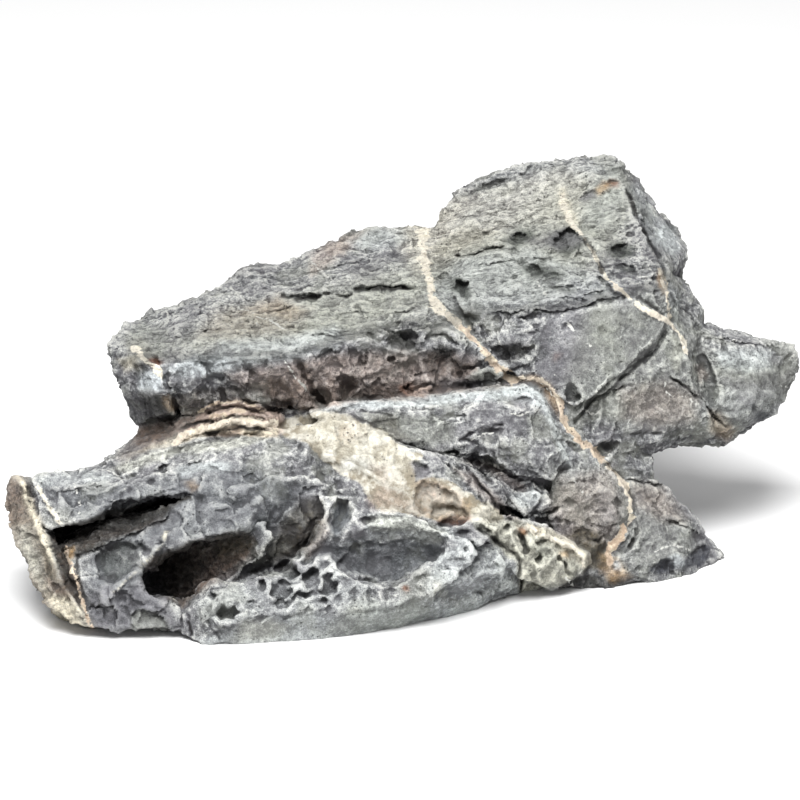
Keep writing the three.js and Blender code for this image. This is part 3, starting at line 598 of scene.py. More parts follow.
# Fills: near at the middle, its rise per mm across and up, width of the slope, outline. They bring what
# lies farther from the viewer up to that plane.
FILLS = [
    # the cavity
    (29.0, 0.62, 0.1, 0.8, [(-99, -67), (-90, -57), (-66, -48), (-52, -46), (-48, -52), (-52, -61),
     (-63, -68), (-76, -77), (-84, -80), (-94, -73)]),
    # the corner beside it, whose right wall is steep
    (37.2, -0.25, 0.36, 1.6, [(-66, -34), (-50, -28), (-36, -28), (-26, -32), (-26, -46), (-32, -56),
     (-42, -64), (-52, -68), (-66, -74), (-67, -68), (-58, -59), (-53, -54.4), (-53, -50.4), (-58, -48.4)]),
    # the wall and the pillar right of it
    (43.3, 0.0, -0.25, 2.0, [(-32, -34), (-20, -36), (-12, -42), (-10, -50), (-24, -64), (-36, -66.6),
     (-48, -68), (-44, -63), (-40, -59.5), (-34.6, -54), (-31, -47.4), (-30, -42)]),
    # the bowl's place
    (44.0, 0.0, 0.06, 2.0, [(-28, -56), (-20, -48), (-10, -46), (4, -46), (14, -48), (26, -51), (29, -58),
     (22, -67), (12, -73), (2, -77), (-10, -74), (-20, -69), (-28, -66)]),
    # the joint in the shelf
    (25.4, -0.1, 0.2, 2.0, [(12, -7), (21, -5), (30, -7), (31, -13), (27, -17), (21, -18.4), (14, -16)]),
    # the gap under the calcite
    (41.0, -0.1, 0.0, 1.5, [(10, -45), (18, -42.6), (28, -44), (38, -47), (37, -53), (28, -54), (20, -53),
     (12, -50)]),
]

# Mounds: height, width of the slope at the upper side and at the lower side, outline.
MOUNDS = [
    # the fold's bed
    (4.0, 3.0, 4.0, [(-82, -8), (-72, -2.6), (-62, 0.6), (-52, -1.4), (-43, -6), (-44, -12), (-56, -13.6),
     (-72, -12.6)]),
    (2.4, 1.6, 1.2, [(23, 8), (27, 11), (32, 12.6), (37, 11.6), (41.4, 9), (38, 7), (30, 6.4), (25, 6)]),
    (1.6, 1.4, 1.0, [(5, 2), (8, 5), (12, 5.4), (13.6, 3), (10, 1.4)]),
    (2.0, 1.6, 3.0, [(-44, -12), (-36, -15), (-26, -20), (-14, -25), (-6, -29), (-4, -33), (-14, -29),
     (-26, -25), (-38, -18)]),
    (1.6, 2.0, 1.6, [(27, -43), (30, -39), (33.4, -38.4), (37, -42), (38, -45), (34, -46), (29, -45)]),
    (1.6, 1.6, 1.4, [(41, -36), (44, -35), (50, -33), (53, -34), (54, -37), (51, -41), (47, -44),
     (44, -41)]),
    (1.4, 1.2, 1.2, [(45, -48), (47.6, -47.4), (48.6, -50), (46.4, -51)]),
    (1.6, 1.2, 1.2, [(48.6, -48), (51.6, -47.6), (54, -49.4), (52, -51), (49.4, -50.4)]),
    (1.4, 2.0, 2.0, [(-72, 34), (-60, 48), (-48, 50), (-46, 44), (-52, 40), (-62, 36)]),
    (1.2, 1.6, 1.6, [(-28, 58), (-20, 62), (-10, 64), (-10, 58), (-18, 55), (-26, 54)]),
    (1.2, 1.6, 1.2, [(80, -48), (83, -46.8), (87, -47), (88, -49), (86, -53), (83, -56), (80, -57),
     (78, -58), (79, -52)]),
    (1.0, 1.4, 1.4, [(119, 20), (130, 20.6), (145, 18), (146, 13), (130, 12.6), (119, 13)]),
    (0.9, 1.0, 2.0, [(101.6, 27.6), (106, 24), (108.4, 18), (108, 14), (104, 10), (101, 17)]),
]

# Steps: height, reach, then the line; the side on the line's left stands proud of the other.
STEPS = [
    (0.9, 2.4, [(34, 33.4), (44, 33.6), (52, 34), (60, 34), (67, 35), (72, 37), (80, 39), (88, 40)]),
    (0.8, 2.6, [(64, -9), (66, -7), (70, -2.6), (73, 0.6), (76, 4.4), (80, 8.4), (84, 10.9), (88, 13.6),
     (91, 17.4), (95, 21.6), (99, 26), (101, 28.8)]),
    (0.7, 2.0, [(-17, 41.4), (-28, 40.4)]),
    # the block's plates
    (1.2, 2.0, [(-117, -79), (-114, -77.4), (-109, -78), (-107, -82), (-108, -87)]),
    (1.2, 2.0, [(-102, -82), (-99, -79.6), (-93, -80.4), (-88, -84), (-87, -88)]),
    (1.0, 2.0, [(-109, -73), (-104, -72), (-100, -76), (-96, -78)]),
    (1.4, 2.4, [(-124, -59), (-114, -55.6), (-106, -52.6), (-98, -49), (-90, -45), (-86, -42)]),
    (0.9, 1.8, [(0, -16), (9, -18.6), (15, -19.4), (22, -21), (26, -20.2), (34, -21.8), (40, -25.4),
     (46, -29.6), (50, -31.6)]),
    (0.7, 2.0, [(-66, 34), (-56, 32.6), (-46, 34), (-40, 36.6)]),
    (0.6, 2.0, [(-96, 26), (-86, 24), (-76, 26), (-66, 27.6)]),
    (0.6, 2.0, [(-40, 48), (-28, 50), (-16, 52.6), (-4, 53)]),
    (0.6, 1.8, [(-30, 32), (-18, 33.6), (-6, 33), (6, 34.4)]),
    (0.6, 1.8, [(22, 69), (34, 70.6), (46, 73.4), (58, 78)]),
    (0.6, 1.6, [(28, 63), (36, 65), (44, 67), (52, 71), (60, 75)]),
    (0.7, 1.6, [(20, 54.6), (26, 55.2), (31, 56.8), (36, 58.4), (40, 59)]),
    (0.6, 1.6, [(28, 51), (38, 52.6), (48, 54), (58, 54)]),
    (0.6, 1.6, [(26, 39.4), (36, 40), (46, 40)]),
    (0.6, 1.6, [(60, 38.6), (70, 40), (78, 42)]),
    (0.5, 1.8, [(-139, -33), (-130, -34.6), (-122, -33.6), (-112, -31.6)]),
    (0.7, 1.6, [(-112, -38.2), (-104, -37.6), (-95, -36.2), (-88, -34.2), (-82, -32)]),
    (0.7, 1.6, [(-84, -34), (-85, -30.6), (-84, -27), (-80, -24), (-74, -22.6)]),
    (0.6, 2.0, [(-60, -38), (-66, -36), (-74, -36.6)]),
    (0.7, 1.6, [(101.5, 9.4), (106, 7), (110, 4), (113, 1.4), (116, -1), (119, -5.4), (122, -8.6),
     (126, -10.4)]),
    (0.5, 1.6, [(112, 24), (122, 23.4), (134, 21.6), (146, 20)]),
    (0.6, 1.6, [(84, -30), (90, -30.6), (96, -31.8), (101, -32.6)]),
    (0.6, 1.6, [(98, -45.4), (104, -45.6), (109, -48), (114, -51)]),
]

# Grooves: half-width, depth, then the line.
GROOVES = [
    (0.9, 2.4, [(-18.6, 42), (-14, 42.4), (-8, 42), (-3, 42.6), (2, 42.2), (6, 42.4)]),
    (0.9, 2.2, [(-46, 40.4), (-42, 39), (-38, 38.4), (-34, 38.6), (-29, 40)]),
    (0.6, 1.0, [(30, 67), (36, 67.2), (41, 66.8)]),
    (0.6, 1.2, [(46, 69), (50, 70), (54, 72.6), (60, 75.4)]),
    (0.7, 1.4, [(20, 54.4), (26, 55), (31, 56.5), (36, 58), (40, 58.6)]),
    (0.7, 1.6, [(45, 85), (48, 87), (51, 88.6)]),
    (0.6, 1.0, [(28, 40), (36, 40.2), (44, 40)]),
    (0.9, 2.0, [(85, 81), (87, 77), (89, 71), (92, 65), (95, 59), (99, 52)]),
    (0.7, 1.4, [(-42, 26), (-36, 25), (-32, 24.6), (-25, 24.6), (-20, 24.4)]),
    (0.7, 1.6, [(8, 24), (12, 24.4), (17, 24.6), (21.4, 21.8), (24.6, 19.6)]),
    (0.7, 1.4, [(-30, 40.4), (-25, 40.2), (-20, 39.2), (-17.6, 41.4)]),
    (0.6, 1.0, [(-58, 35.6), (-55, 36.2)]),
    (0.6, 1.0, [(-41, 41), (-37, 41.6), (-34, 44)]),
    (1.2, 2.0, [(69, 62), (72, 57.6), (75.4, 51.6), (77.4, 47)]),
    (1.2, 1.8, [(78, 43.6), (81, 40.6), (86, 38)]),
    (0.9, 1.4, [(89, 39), (93, 37), (97, 34.4), (101, 31.8)]),
    (0.7, 1.6, [(23, -15.6), (27, -12.4), (31, -10.3), (36, -9.1), (40.6, -9.1)]),
    (0.6, 1.2, [(22, -15), (26, -15.4), (30, -17)]),
    (0.6, 1.2, [(-16, -4.4), (-8, -4.6), (-2, -6.4)]),
    (0.6, 1.2, [(-20, -5), (-12, -9), (-6, -11), (-3, -14.6), (0, -16.6), (8, -18.6)]),
    (0.7, 1.8, [(42, -35), (46, -32.8), (50, -31.6)]),
    (0.9, 2.2, [(28, -24.6), (33, -30), (38, -35.6), (42, -41), (47, -46)]),
    (0.7, 1.6, [(23, -24), (27, -28), (31, -33), (35, -38), (39, -43), (44, -46.4)]),
    (0.6, 1.2, [(30, -26), (36, -32), (40, -37)]),
    (0.9, 2.2, [(45.4, -74), (45, -68), (45.4, -62), (44, -58.6), (39, -55.4), (33, -50.6), (27, -46.8)]),
    (0.5, 0.9, [(-38.4, -36), (-38, -40), (-35, -44), (-33, -48)]),
    (0.6, 2.2, [(-74, -5.4), (-68, -3.4), (-62, -2.0), (-57, -3.4), (-52, -6)]),
    (0.6, 2.2, [(-84, -11.2), (-76, -8.8), (-70, -8), (-64, -6), (-58, -6.4), (-50, -7.4)]),
    (0.8, 2.0, [(-76, -13.6), (-68, -11.6), (-60, -10.4), (-54, -10.6), (-47, -11)]),
    (0.6, 1.6, [(-55, -3), (-51, -3), (-47.6, -4.4), (-45, -5.4)]),
    (0.8, 1.6, [(-64, -68.6), (-58, -66.4), (-52, -63.4), (-48, -62.4)]),
    (0.8, 1.4, [(-82, -79.6), (-80, -81.6), (-79.4, -86), (-79, -90)]),
    (0.6, 1.0, [(-73.4, -83), (-71, -86.6), (-68, -90)]),
    (0.7, 1.2, [(-121.6, -57), (-122.4, -63), (-121, -70), (-119, -77)]),
    (0.7, 1.4, [(76.4, -23), (80, -26), (84, -30), (87, -35), (89.4, -40), (90.4, -44)]),
    (0.6, 1.0, [(85, -30.4), (91, -30.8), (96, -32), (101, -32.8)]),
    (0.8, 1.6, [(70, -52), (75, -53.4), (78, -50)]),
    (0.6, 1.0, [(56, -29), (61, -27), (65, -24.8)]),
    (0.6, 1.0, [(62, -32), (68, -30.6), (71, -31)]),
    (0.6, 1.4, [(101.5, 9), (106, 6.5), (110, 3.5), (113, 1), (116, -1.5), (119, -6), (122, -9),
     (125, -10.6)]),
    (0.6, 1.2, [(111, 18), (111.5, 12), (113, 6), (114, 2), (113.6, -2)]),
    (0.7, 1.4, [(115.4, 25.6), (113, 22), (112, 17)]),
    (0.7, 1.4, [(114, 18), (117, 14), (118, 9), (118.6, 5)]),
    (0.6, 1.2, [(103, 41), (103.6, 38), (103.4, 33.4)]),
    (0.6, 1.0, [(71, -4), (72.8, -8), (72.4, -14)]),
    (0.6, 1.0, [(84, -12), (92, -12.8), (100, -12.4)]),
    (0.6, 1.0, [(84, -22), (90, -20.4), (98, -21.6)]),
    (0.6, 1.0, [(-136, -38), (-131, -42)]),
    (0.7, 1.4, [(-108, -26), (-104, -31), (-100, -27.6)]),
    (0.5, 0.8, [(-111, -69), (-110.6, -73), (-109.6, -77)]),
]

# Ridges: half-width, height, then the line.
RIDGES = [
    # the fold's ribbons
    (1.5, 2.4, [(-75.4, -4), (-72, -2.4), (-68.8, -1.2), (-62.2, -0.4), (-58, -1), (-54.9, -2.6),
     (-51.2, -5), (-46.8, -7)]),
    (2.0, 2.8, [(-71.4, -7), (-68.8, -6), (-65.2, -5.6), (-62.2, -4), (-59.3, -4.4), (-57.6, -6)]),
    (2.3, 3.4, [(-86, -16.4), (-80.5, -13), (-75.4, -11.5), (-71, -10.2), (-66.6, -8.6), (-62.2, -7.6),
     (-59.3, -8.2), (-57.1, -9.8), (-54, -9.4), (-47.6, -9)]),
    (1.5, 2.0, [(-70, -13.2), (-64, -12.2), (-59, -12.6), (-55, -12), (-47, -12.6)]),
    (1.1, 1.4, [(-106, -25.6), (-98, -22), (-90, -18.6), (-82, -16.4), (-72, -14.6)]),
    (1.1, 1.4, [(-102, -20), (-95, -17), (-88, -14)]),
    # the undercut's rims
    (0.7, 1.2, [(-15, 24), (-10, 21), (-5, 19.5), (1, 18), (5, 17.4)]),
    (0.7, 1.2, [(5, 17), (-2, 14), (-10, 11), (-15, 9)]),
    (0.9, 1.2, [(-43, 17), (-40, 12), (-36, 6), (-32, 1), (-29, -3)]),
    (0.9, 1.2, [(-33, 14), (-29, 8), (-26, 3), (-24, -2)]),
    (0.8, 1.0, [(8.6, 20), (8.6, 12), (10.6, 6)]),
    (0.8, 1.0, [(22, 21.6), (24, 18), (23, 12), (25, 8)]),
    (0.7, 0.9, [(5, 27), (8.4, 25), (8.6, 21.6)]),
    (0.7, 0.9, [(-7.4, 26), (-7, 22.6), (-5.6, 20)]),
    # the ledges above the shelf
    (0.8, 1.2, [(-30, -3), (-24, -3), (-20, -1.5), (-15, -0.3), (-10, -1), (-5, 0.5), (0, 0), (6, -0.4)]),
    (0.8, 1.2, [(10, 0.6), (15, 2.6), (22, 3), (30, 2.4), (36, 4.5), (45, 5.2), (50, 6.4)]),
    (0.7, 1.0, [(-16, 3), (-10, 2), (-4, 2.4), (2, 1.4)]),
    (0.7, 0.9, [(-20, 2), (-14, 5), (-8, 4)]),
    (0.8, 0.9, [(-14, -3), (-6, -2.2), (2, -2), (10, -2.4), (16, -3.6)]),
    # the ribs under the shelf
    (0.8, 1.2, [(22, -22.6), (27, -26), (31, -31), (36, -37), (42, -43), (47, -47)]),
    (0.8, 1.2, [(26, -24.4), (31, -28.6), (36, -34.4), (40, -39.6)]),
    (0.7, 1.0, [(24, -28), (29, -33.4), (34, -39.4), (38, -44)]),
    (0.7, 1.0, [(16, -22.6), (22, -26.6), (26, -31.6), (30, -36)]),
    # the arch's and the bowl's rims
    (0.6, 0.7, [(-19.6, -47.6), (-18, -44), (-16.4, -46), (-15.6, -48.6), (-13.6, -50), (-11, -49.8)]),
    (0.8, 1.0, [(-12, -44), (-8, -42.4), (-4, -43), (0, -43.6), (4, -43.6), (8, -45), (13, -46)]),
    (0.8, 1.0, [(-28, -50), (-31, -54), (-33, -58)]),
    # the front lobe's rims
    (1.3, 1.4, [(-60, -68), (-57, -67.4), (-53, -66), (-50, -66.8), (-46, -66.4), (-43, -67), (-41, -69),
     (-38, -68), (-36, -65), (-33, -63), (-31, -60.4), (-28, -60), (-26, -62), (-23, -65), (-20, -65.5),
     (-15, -66), (-11, -67.4), (-8, -69.2), (-3, -69.2), (0, -68.5), (4, -65), (8, -62), (13, -60)]),
    (1.1, 0.8, [(-49.8, -67.4), (-50, -72), (-48.4, -76.4), (-45, -77), (-42, -74.6), (-40, -71),
     (-38, -69)]),
    (1.0, 0.8, [(-38.2, -69), (-35.6, -72), (-32, -72), (-30.4, -69.6), (-30.2, -65.6)]),
    (0.7, 1.0, [(-40, -76.6), (-36, -75.4), (-32, -75), (-28, -73.6)]),
    (0.7, 1.0, [(-79, -78), (-77, -74.4), (-72, -72), (-67, -70.2), (-62, -69)]),
    (0.9, 2.0, [(-72, -81.8), (-70, -77.6), (-66, -75.8), (-61, -76), (-58, -79.6), (-61, -84),
     (-67.6, -85), (-72, -81.8)]),
    (0.8, 1.4, [(-76, -74.6), (-73.6, -71), (-69.6, -70.2), (-67, -72.8), (-69, -76.4), (-74, -76.8)]),
    (0.7, 0.8, [(-12.8, -70), (-13, -75), (-11.6, -79)]),
    (0.7, 0.8, [(-7.4, -70), (-7.4, -75), (-6, -78)]),
    # the tip's network
    (1.2, 3.0, [(46, -73), (47.4, -66), (48.4, -61), (46, -58.4), (43.4, -54), (42.6, -49.6), (46, -47.4)]),
    (1.2, 2.8, [(48.4, -60.6), (52, -63), (56, -62), (59, -58.6), (56.6, -55.4), (52, -56.6),
     (49.6, -58.4)]),
    (1.5, 3.2, [(49, -58), (50, -53), (54, -50.6), (60, -53.6), (66, -56), (69.6, -59.4), (69.6, -63.4),
     (67, -67.6)]),
    (1.0, 2.6, [(52, -63), (52, -67), (54, -70)]),
    (1.0, 1.8, [(36.4, -47), (38, -51), (41, -54)]),
    (0.9, 1.6, [(61.6, -58), (63.6, -62.4), (66.6, -65)]),
    # the left block
    (0.9, 2.6, [(-88.6, -49.8), (-89.6, -54), (-94, -58), (-97, -62), (-101, -66), (-106, -70.4),
     (-109.5, -73.5)]),
    (0.7, 0.9, [(-126, -46.4), (-118, -43.6), (-111, -39), (-106, -35), (-100, -30.4), (-95, -27.4)]),
    (0.7, 0.8, [(-120, -36), (-112, -34), (-106, -31)]),
    (0.9, 0.9, [(-137.6, -33), (-134.4, -38), (-130.6, -43.6), (-128.4, -47)]),
    (1.2, 1.4, [(-144.6, -30), (-142.6, -35), (-140, -42), (-137.4, -48), (-134.8, -54), (-132, -60)]),
    (0.7, 0.8, [(-100, -78.6), (-94, -78.6), (-88, -76.6)]),
    # the overhang's rim, the shoulder and the fins
    (0.7, 0.9, [(65, -8.4), (70, -2), (74, 2.8), (78, 7.2), (83, 10.2), (87, 12), (90, 15.8), (94, 20.4),
     (98.6, 25.4), (101, 28.6)]),
    (0.7, 1.2, [(76.8, 1.4), (76, -4), (74.6, -9), (72.8, -14), (71.8, -17)]),
    (0.7, 0.9, [(77.6, 4), (80, 6.3), (84, 7.2), (90, 6.5)]),
    (0.6, 0.8, [(102, 28), (106, 24), (108.6, 18), (108, 14), (104, 10)]),
    (0.7, 0.9, [(73.4, -18.4), (75.4, -15.4), (79.6, -14), (84, -16)]),
    (0.9, 0.9, [(52, 6), (55, 1), (57.4, -6), (60, -12), (63, -19), (65, -25)]),
]

# Veins: half-width at the start and the end, rust (0 cream, 1 orange), how proud, then the line.
VEINS = [
    (2.8, 2.3, 0.0, 0.4, [(9.4, 72), (9, 60), (8.4, 53)]),
    (2.2, 1.9, 0.05, 0.5, [(8.6, 54), (10, 48), (11.6, 44), (11.4, 40), (13, 36.4), (17, 32.6),
     (22, 28.6)]),
    (1.4, 1.9, 0.5, 0.4, [(22, 28.6), (26, 25), (30, 21), (33, 17), (36, 13.4), (40, 10), (43, 7)]),
    (0.9, 0.7, 0.45, 0.2, [(43, 8), (48, 8), (53, 7.6), (57, 4.4), (60, 0), (62, -5)]),
    (1.4, 1.9, 0.55, 0.5, [(60.6, -1), (61.6, -7), (64, -11), (67.6, -15), (71.6, -18), (76, -22.6)]),
    (0.8, 1.5, 0.25, 0.2, [(77, -23), (82, -28), (85.4, -33), (87, -38), (87.4, -44), (86.6, -47)]),
    (2.4, 1.5, 0.7, 0.5, [(85.4, -47.6), (83.4, -51), (80.6, -54.6), (79, -58), (79.6, -62)]),
    (0.7, 0.6, 0.95, 0.0, [(57, 16), (59, 17), (61, 18)]),
    (1.5, 1.1, 0.0, 0.2, [(61.4, 78), (62.4, 73), (64, 68), (66.4, 65.6)]),
    (1.0, 1.1, 0.0, 0.7, [(67.4, 65), (70.4, 60), (73.4, 55), (76, 50), (78.4, 46.4)]),
    (1.0, 1.2, 0.15, 0.7, [(78.4, 46.4), (82, 42.6), (87, 38.6), (92, 35), (97, 32), (101.6, 30)]),
    (0.9, 0.7, 0.05, 0.3, [(102, 29.6), (105, 26), (107.4, 22), (108.6, 17)]),
    (0.9, 0.8, 0.0, 0.4, [(-137.6, -33), (-134.4, -38), (-130.6, -43.6), (-128.4, -47)]),
    (0.9, 0.8, 0.6, 0.1, [(-126.4, -55), (-125.4, -60), (-122.6, -68), (-120.4, -76)]),
    (0.9, 1.0, 0.6, 0.2, [(-120.4, -76), (-118.6, -81), (-116.4, -87)]),
    (1.8, 1.4, 0.0, 0.3, [(-100.4, 19.6), (-96, 14.8), (-90.6, 9.6)]),
    (0.9, 0.6, 0.2, 0.2, [(98, 49), (100, 44), (101.4, 38), (102, 31)]),
    # the fold's ribbons
    (0.8, 0.7, 0.55, 0.0, [(-76, -4.4), (-72, -2.2), (-68.8, -1), (-62.2, -0.2), (-58, -0.8), (-54.9, -2.4),
     (-51.2, -4.8)]),
    (1.2, 0.7, 0.6, 0.0, [(-71.4, -6.8), (-68.8, -5.8), (-65.2, -5.4), (-62.2, -3.8), (-59.3, -4.2)]),
    (1.5, 2.4, 0.25, 0.0, [(-86, -16), (-80.5, -12.6), (-75.4, -11), (-71, -9.8), (-66.6, -8.2),
     (-62.2, -7.2), (-59.3, -7.8), (-54, -9), (-48, -8.8)]),
    # the tip's crests
    (1.6, 1.0, 0.0, 0.0, [(48, -48), (50, -49.4), (54, -50.6), (60, -53.6), (66, -56), (69.6, -59.4),
     (69.6, -63.4)]),
]

# Threads: thin white lines of calcite.
THREADS = [
    [(-54, 29), (-50, 24), (-45.6, 17.6), (-42, 12), (-38, 7), (-34, 2)],
    [(-64, 42.6), (-60.6, 39), (-59.6, 36.6)],
    [(-34, 52.6), (-30, 49), (-25.6, 45.2)],
    [(61, 33.4), (64, 29.6), (67, 25), (70, 22), (74, 19.6)],
    [(-123.6, -31), (-122.4, -36), (-120.8, -40), (-122, -43)],
    [(-111, -26), (-105.6, -29.6), (-104, -34)],
    [(-66, 37), (-56, 33), (-44, 27)],
    [(93, 71.4), (96, 73.4), (97, 70)],
    [(52, 8), (56, 4), (59, 1)],
    [(58, 10), (61.6, 7), (62, 12)],
    [(74, 18), (78, 16)],
    [(70, -3.4), (73, -5.4), (75, -5)],
    [(143, 5.4), (147, 5), (150, 5.2)],
    [(96, -58), (103, -55), (110, -57)],
    [(62, -66), (66, -70), (68, -72)],
    [(51, 46), (54, 42), (56, 39)],
    [(104, -1), (101, 3), (100, 8)],
    [(106, 0), (109, 1.4), (112, -2)],
    [(-89, 33.6), (-87.4, 30), (-89, 28.6)],
    [(40, -5.4), (46, -5.8), (52, -3.8)],
    [(27, -15.4), (32, -13), (36, -12.6)],
    [(63, -27.6), (66, -31), (69, -35.4)],
]

# Veins of the back: half-width, lean and start; across = start + lean * up.
BACK_VEINS = [(1.7, 0.12, -6.0), (1.1, -0.5, 96.0), (1.2, 0.7, -92.0)]

# Rock wedged between the back's two storeys: corners in mm, across, back and up.
WEDGE = [
    (22, 60, 56), (30, 86, 62), (60, 85.5, 61), (88, 80, 58), (92, 60, 50),
    (14, 90, 78), (60, 99, 82), (97, 89, 76), (24, 60, 82), (96, 60, 82),
]

# Bends of the outline: across, up, then how far right and up, and the reach.
WARPS = [
    (-58, 47, 0, 0.2, 6), (-42, 50, 0, -0.6, 4), (-22, 61, -0.6, 0.2, 6), (12, 66, 0, -1.4, 4),
    (106, 56, 1.6, 0, 6), (101, 70, -1.4, 0, 5), (98, -22, -1.8, 0, 5), (-108, -21, -1.8, 0, 5),
    (120, -58, 1.6, 0, 4), (-109, 21, -1.0, 0, 4), (-20, -88, 0, -1.6, 14), (-60, -90, 0, -1.6, 14),
    (84, 90, 0.6, -0.8, 6), (26, 80, -0.6, 1.0, 5), (-12, 64, 0, 0.6, 4), (108, -20, 0, 2.4, 7),
    (130, -15, -0.6, 1.8, 7), (132, 24, 0, -2.0, 7), (-114, -25, 0, -1.8, 6), (-82, 38, 0, -1.0, 8),
]

# Zones that differ in how they have weathered.
ZONES = {
    "layered": [
        (-112, 12), (-92, 16), (-60, 17), (-42, 17), (-20, 24), (0, 29), (14, 27), (26, 34), (60, 34.6),
        (80, 39.4), (92, 42), (101, 44), (96, 60), (86, 84), (84, 100), (20, 100), (-20, 75), (-60, 60),
        (-112, 45),
    ],
    "scooped": [
        (-92, -6), (-90, 12), (-60, 15), (-42, 15), (-20, 21), (0, 29), (12, 28), (22, 24), (34, 32),
        (56, 33), (54, 16), (44, 9), (20, 4), (-10, 1), (-40, -4), (-60, 0), (-80, -3),
    ],
    "smooth": [(52, 30), (66, 34.6), (86, 38), (100, 31), (98, 25), (84, 11), (66, -9), (58, 2), (50, 12)],
    "dished": [
        (-137, -31), (-110, -36), (-60, -22), (-28, -34), (-32, -58), (-84, -78), (-80, -92), (-118, -92),
        (-128, -60),
    ],
    "lobe": [
        (-84, -92), (-78, -76), (-70, -70), (-54, -65), (-46, -67), (-37, -65), (-29, -59), (-20, -64),
        (-8, -68), (2, -67), (8, -72), (4, -80), (-10, -90), (-70, -96),
    ],
    "belly": [
        (-82, -98), (-74, -90), (-62, -86.4), (-50, -82), (-30, -81.4), (-8, -80), (6, -79.6), (24, -78),
        (34, -76), (46, -73), (46, -80), (20, -92), (-40, -100),
    ],
    "tip": [
        (24, -47), (36, -45), (48, -46), (62, -51), (72, -57), (72, -64), (66, -70), (46, -76), (44, -62),
        (36, -54),
    ],
    "crystals": [
        (-48, -10), (-40, -6), (-30, -4.4), (-20, -5.4), (-13, -9), (-6, -11), (-3, -14.6), (0, -17),
        (6, -20), (9, -22), (4, -23.4), (5, -28), (6, -31), (12, -29), (18, -30), (24, -34), (30, -38),
        (37, -41), (40, -46), (34, -47), (28, -46), (22, -45), (14, -46), (8, -44), (0, -43), (-9, -41.5),
        (-12, -37), (-16, -31), (-23, -28), (-31, -22), (-34, -17), (-44, -14),
    ],
    "cavity": [
        (-99, -67), (-90, -57), (-66, -50), (-58, -49), (-53, -54), (-57, -60), (-66, -66), (-76, -75),
        (-84, -80), (-94, -73),
    ],
    "ledge": [
        (-134, -50), (-118, -46), (-100, -43), (-88, -40), (-88, -44), (-100, -50), (-112, -55),
        (-121, -59), (-131, -59),
    ],
    "bowl": [
        (-36, -42), (-28, -34), (-18, -38), (-12, -50), (6, -51.4), (15, -54), (14, -58.5), (5, -64),
        (-4, -69.4), (-14, -67), (-25, -65), (-40, -63), (-52, -66), (-50, -58),
    ],
    "cap": [
        (-156, -26), (-142, -26), (-139, -38), (-134, -52), (-128, -66), (-118, -80), (-114, -92),
        (-156, -92),
    ],
    "ribs": [(15, -22), (24, -22), (40, -30), (50, -44), (46, -48), (36, -44), (26, -33)],
}

PALETTE = {
    "cream": "#e6dec8",
    "white": "#cfcbbc",
    "dust and painted light": "#c9cfcf",
    "blue white": "#c3c9cc",
    "green grey": "#999c92",
    "sage": "#b4b6a8",
    "pale green and painted highlight": "#cccdc0",
    "violet grey and painted shade": "#747277",
    "slate and painted shade": "#64686c",
    "deep green painted shade": "#50544f",
    "blue black": "#3d3f47",
    "charcoal painted shade": "#34322f",
    "umber": "#584d45",
    "brown and painted shade": "#75665d",
    "tan": "#a59482",
    "rose": "#b3a196",
    "ochre": "#b59468",
    "orange": "#b4845a",
    "rust": "#7f4f33",
    "moss": "#5c5546",
}
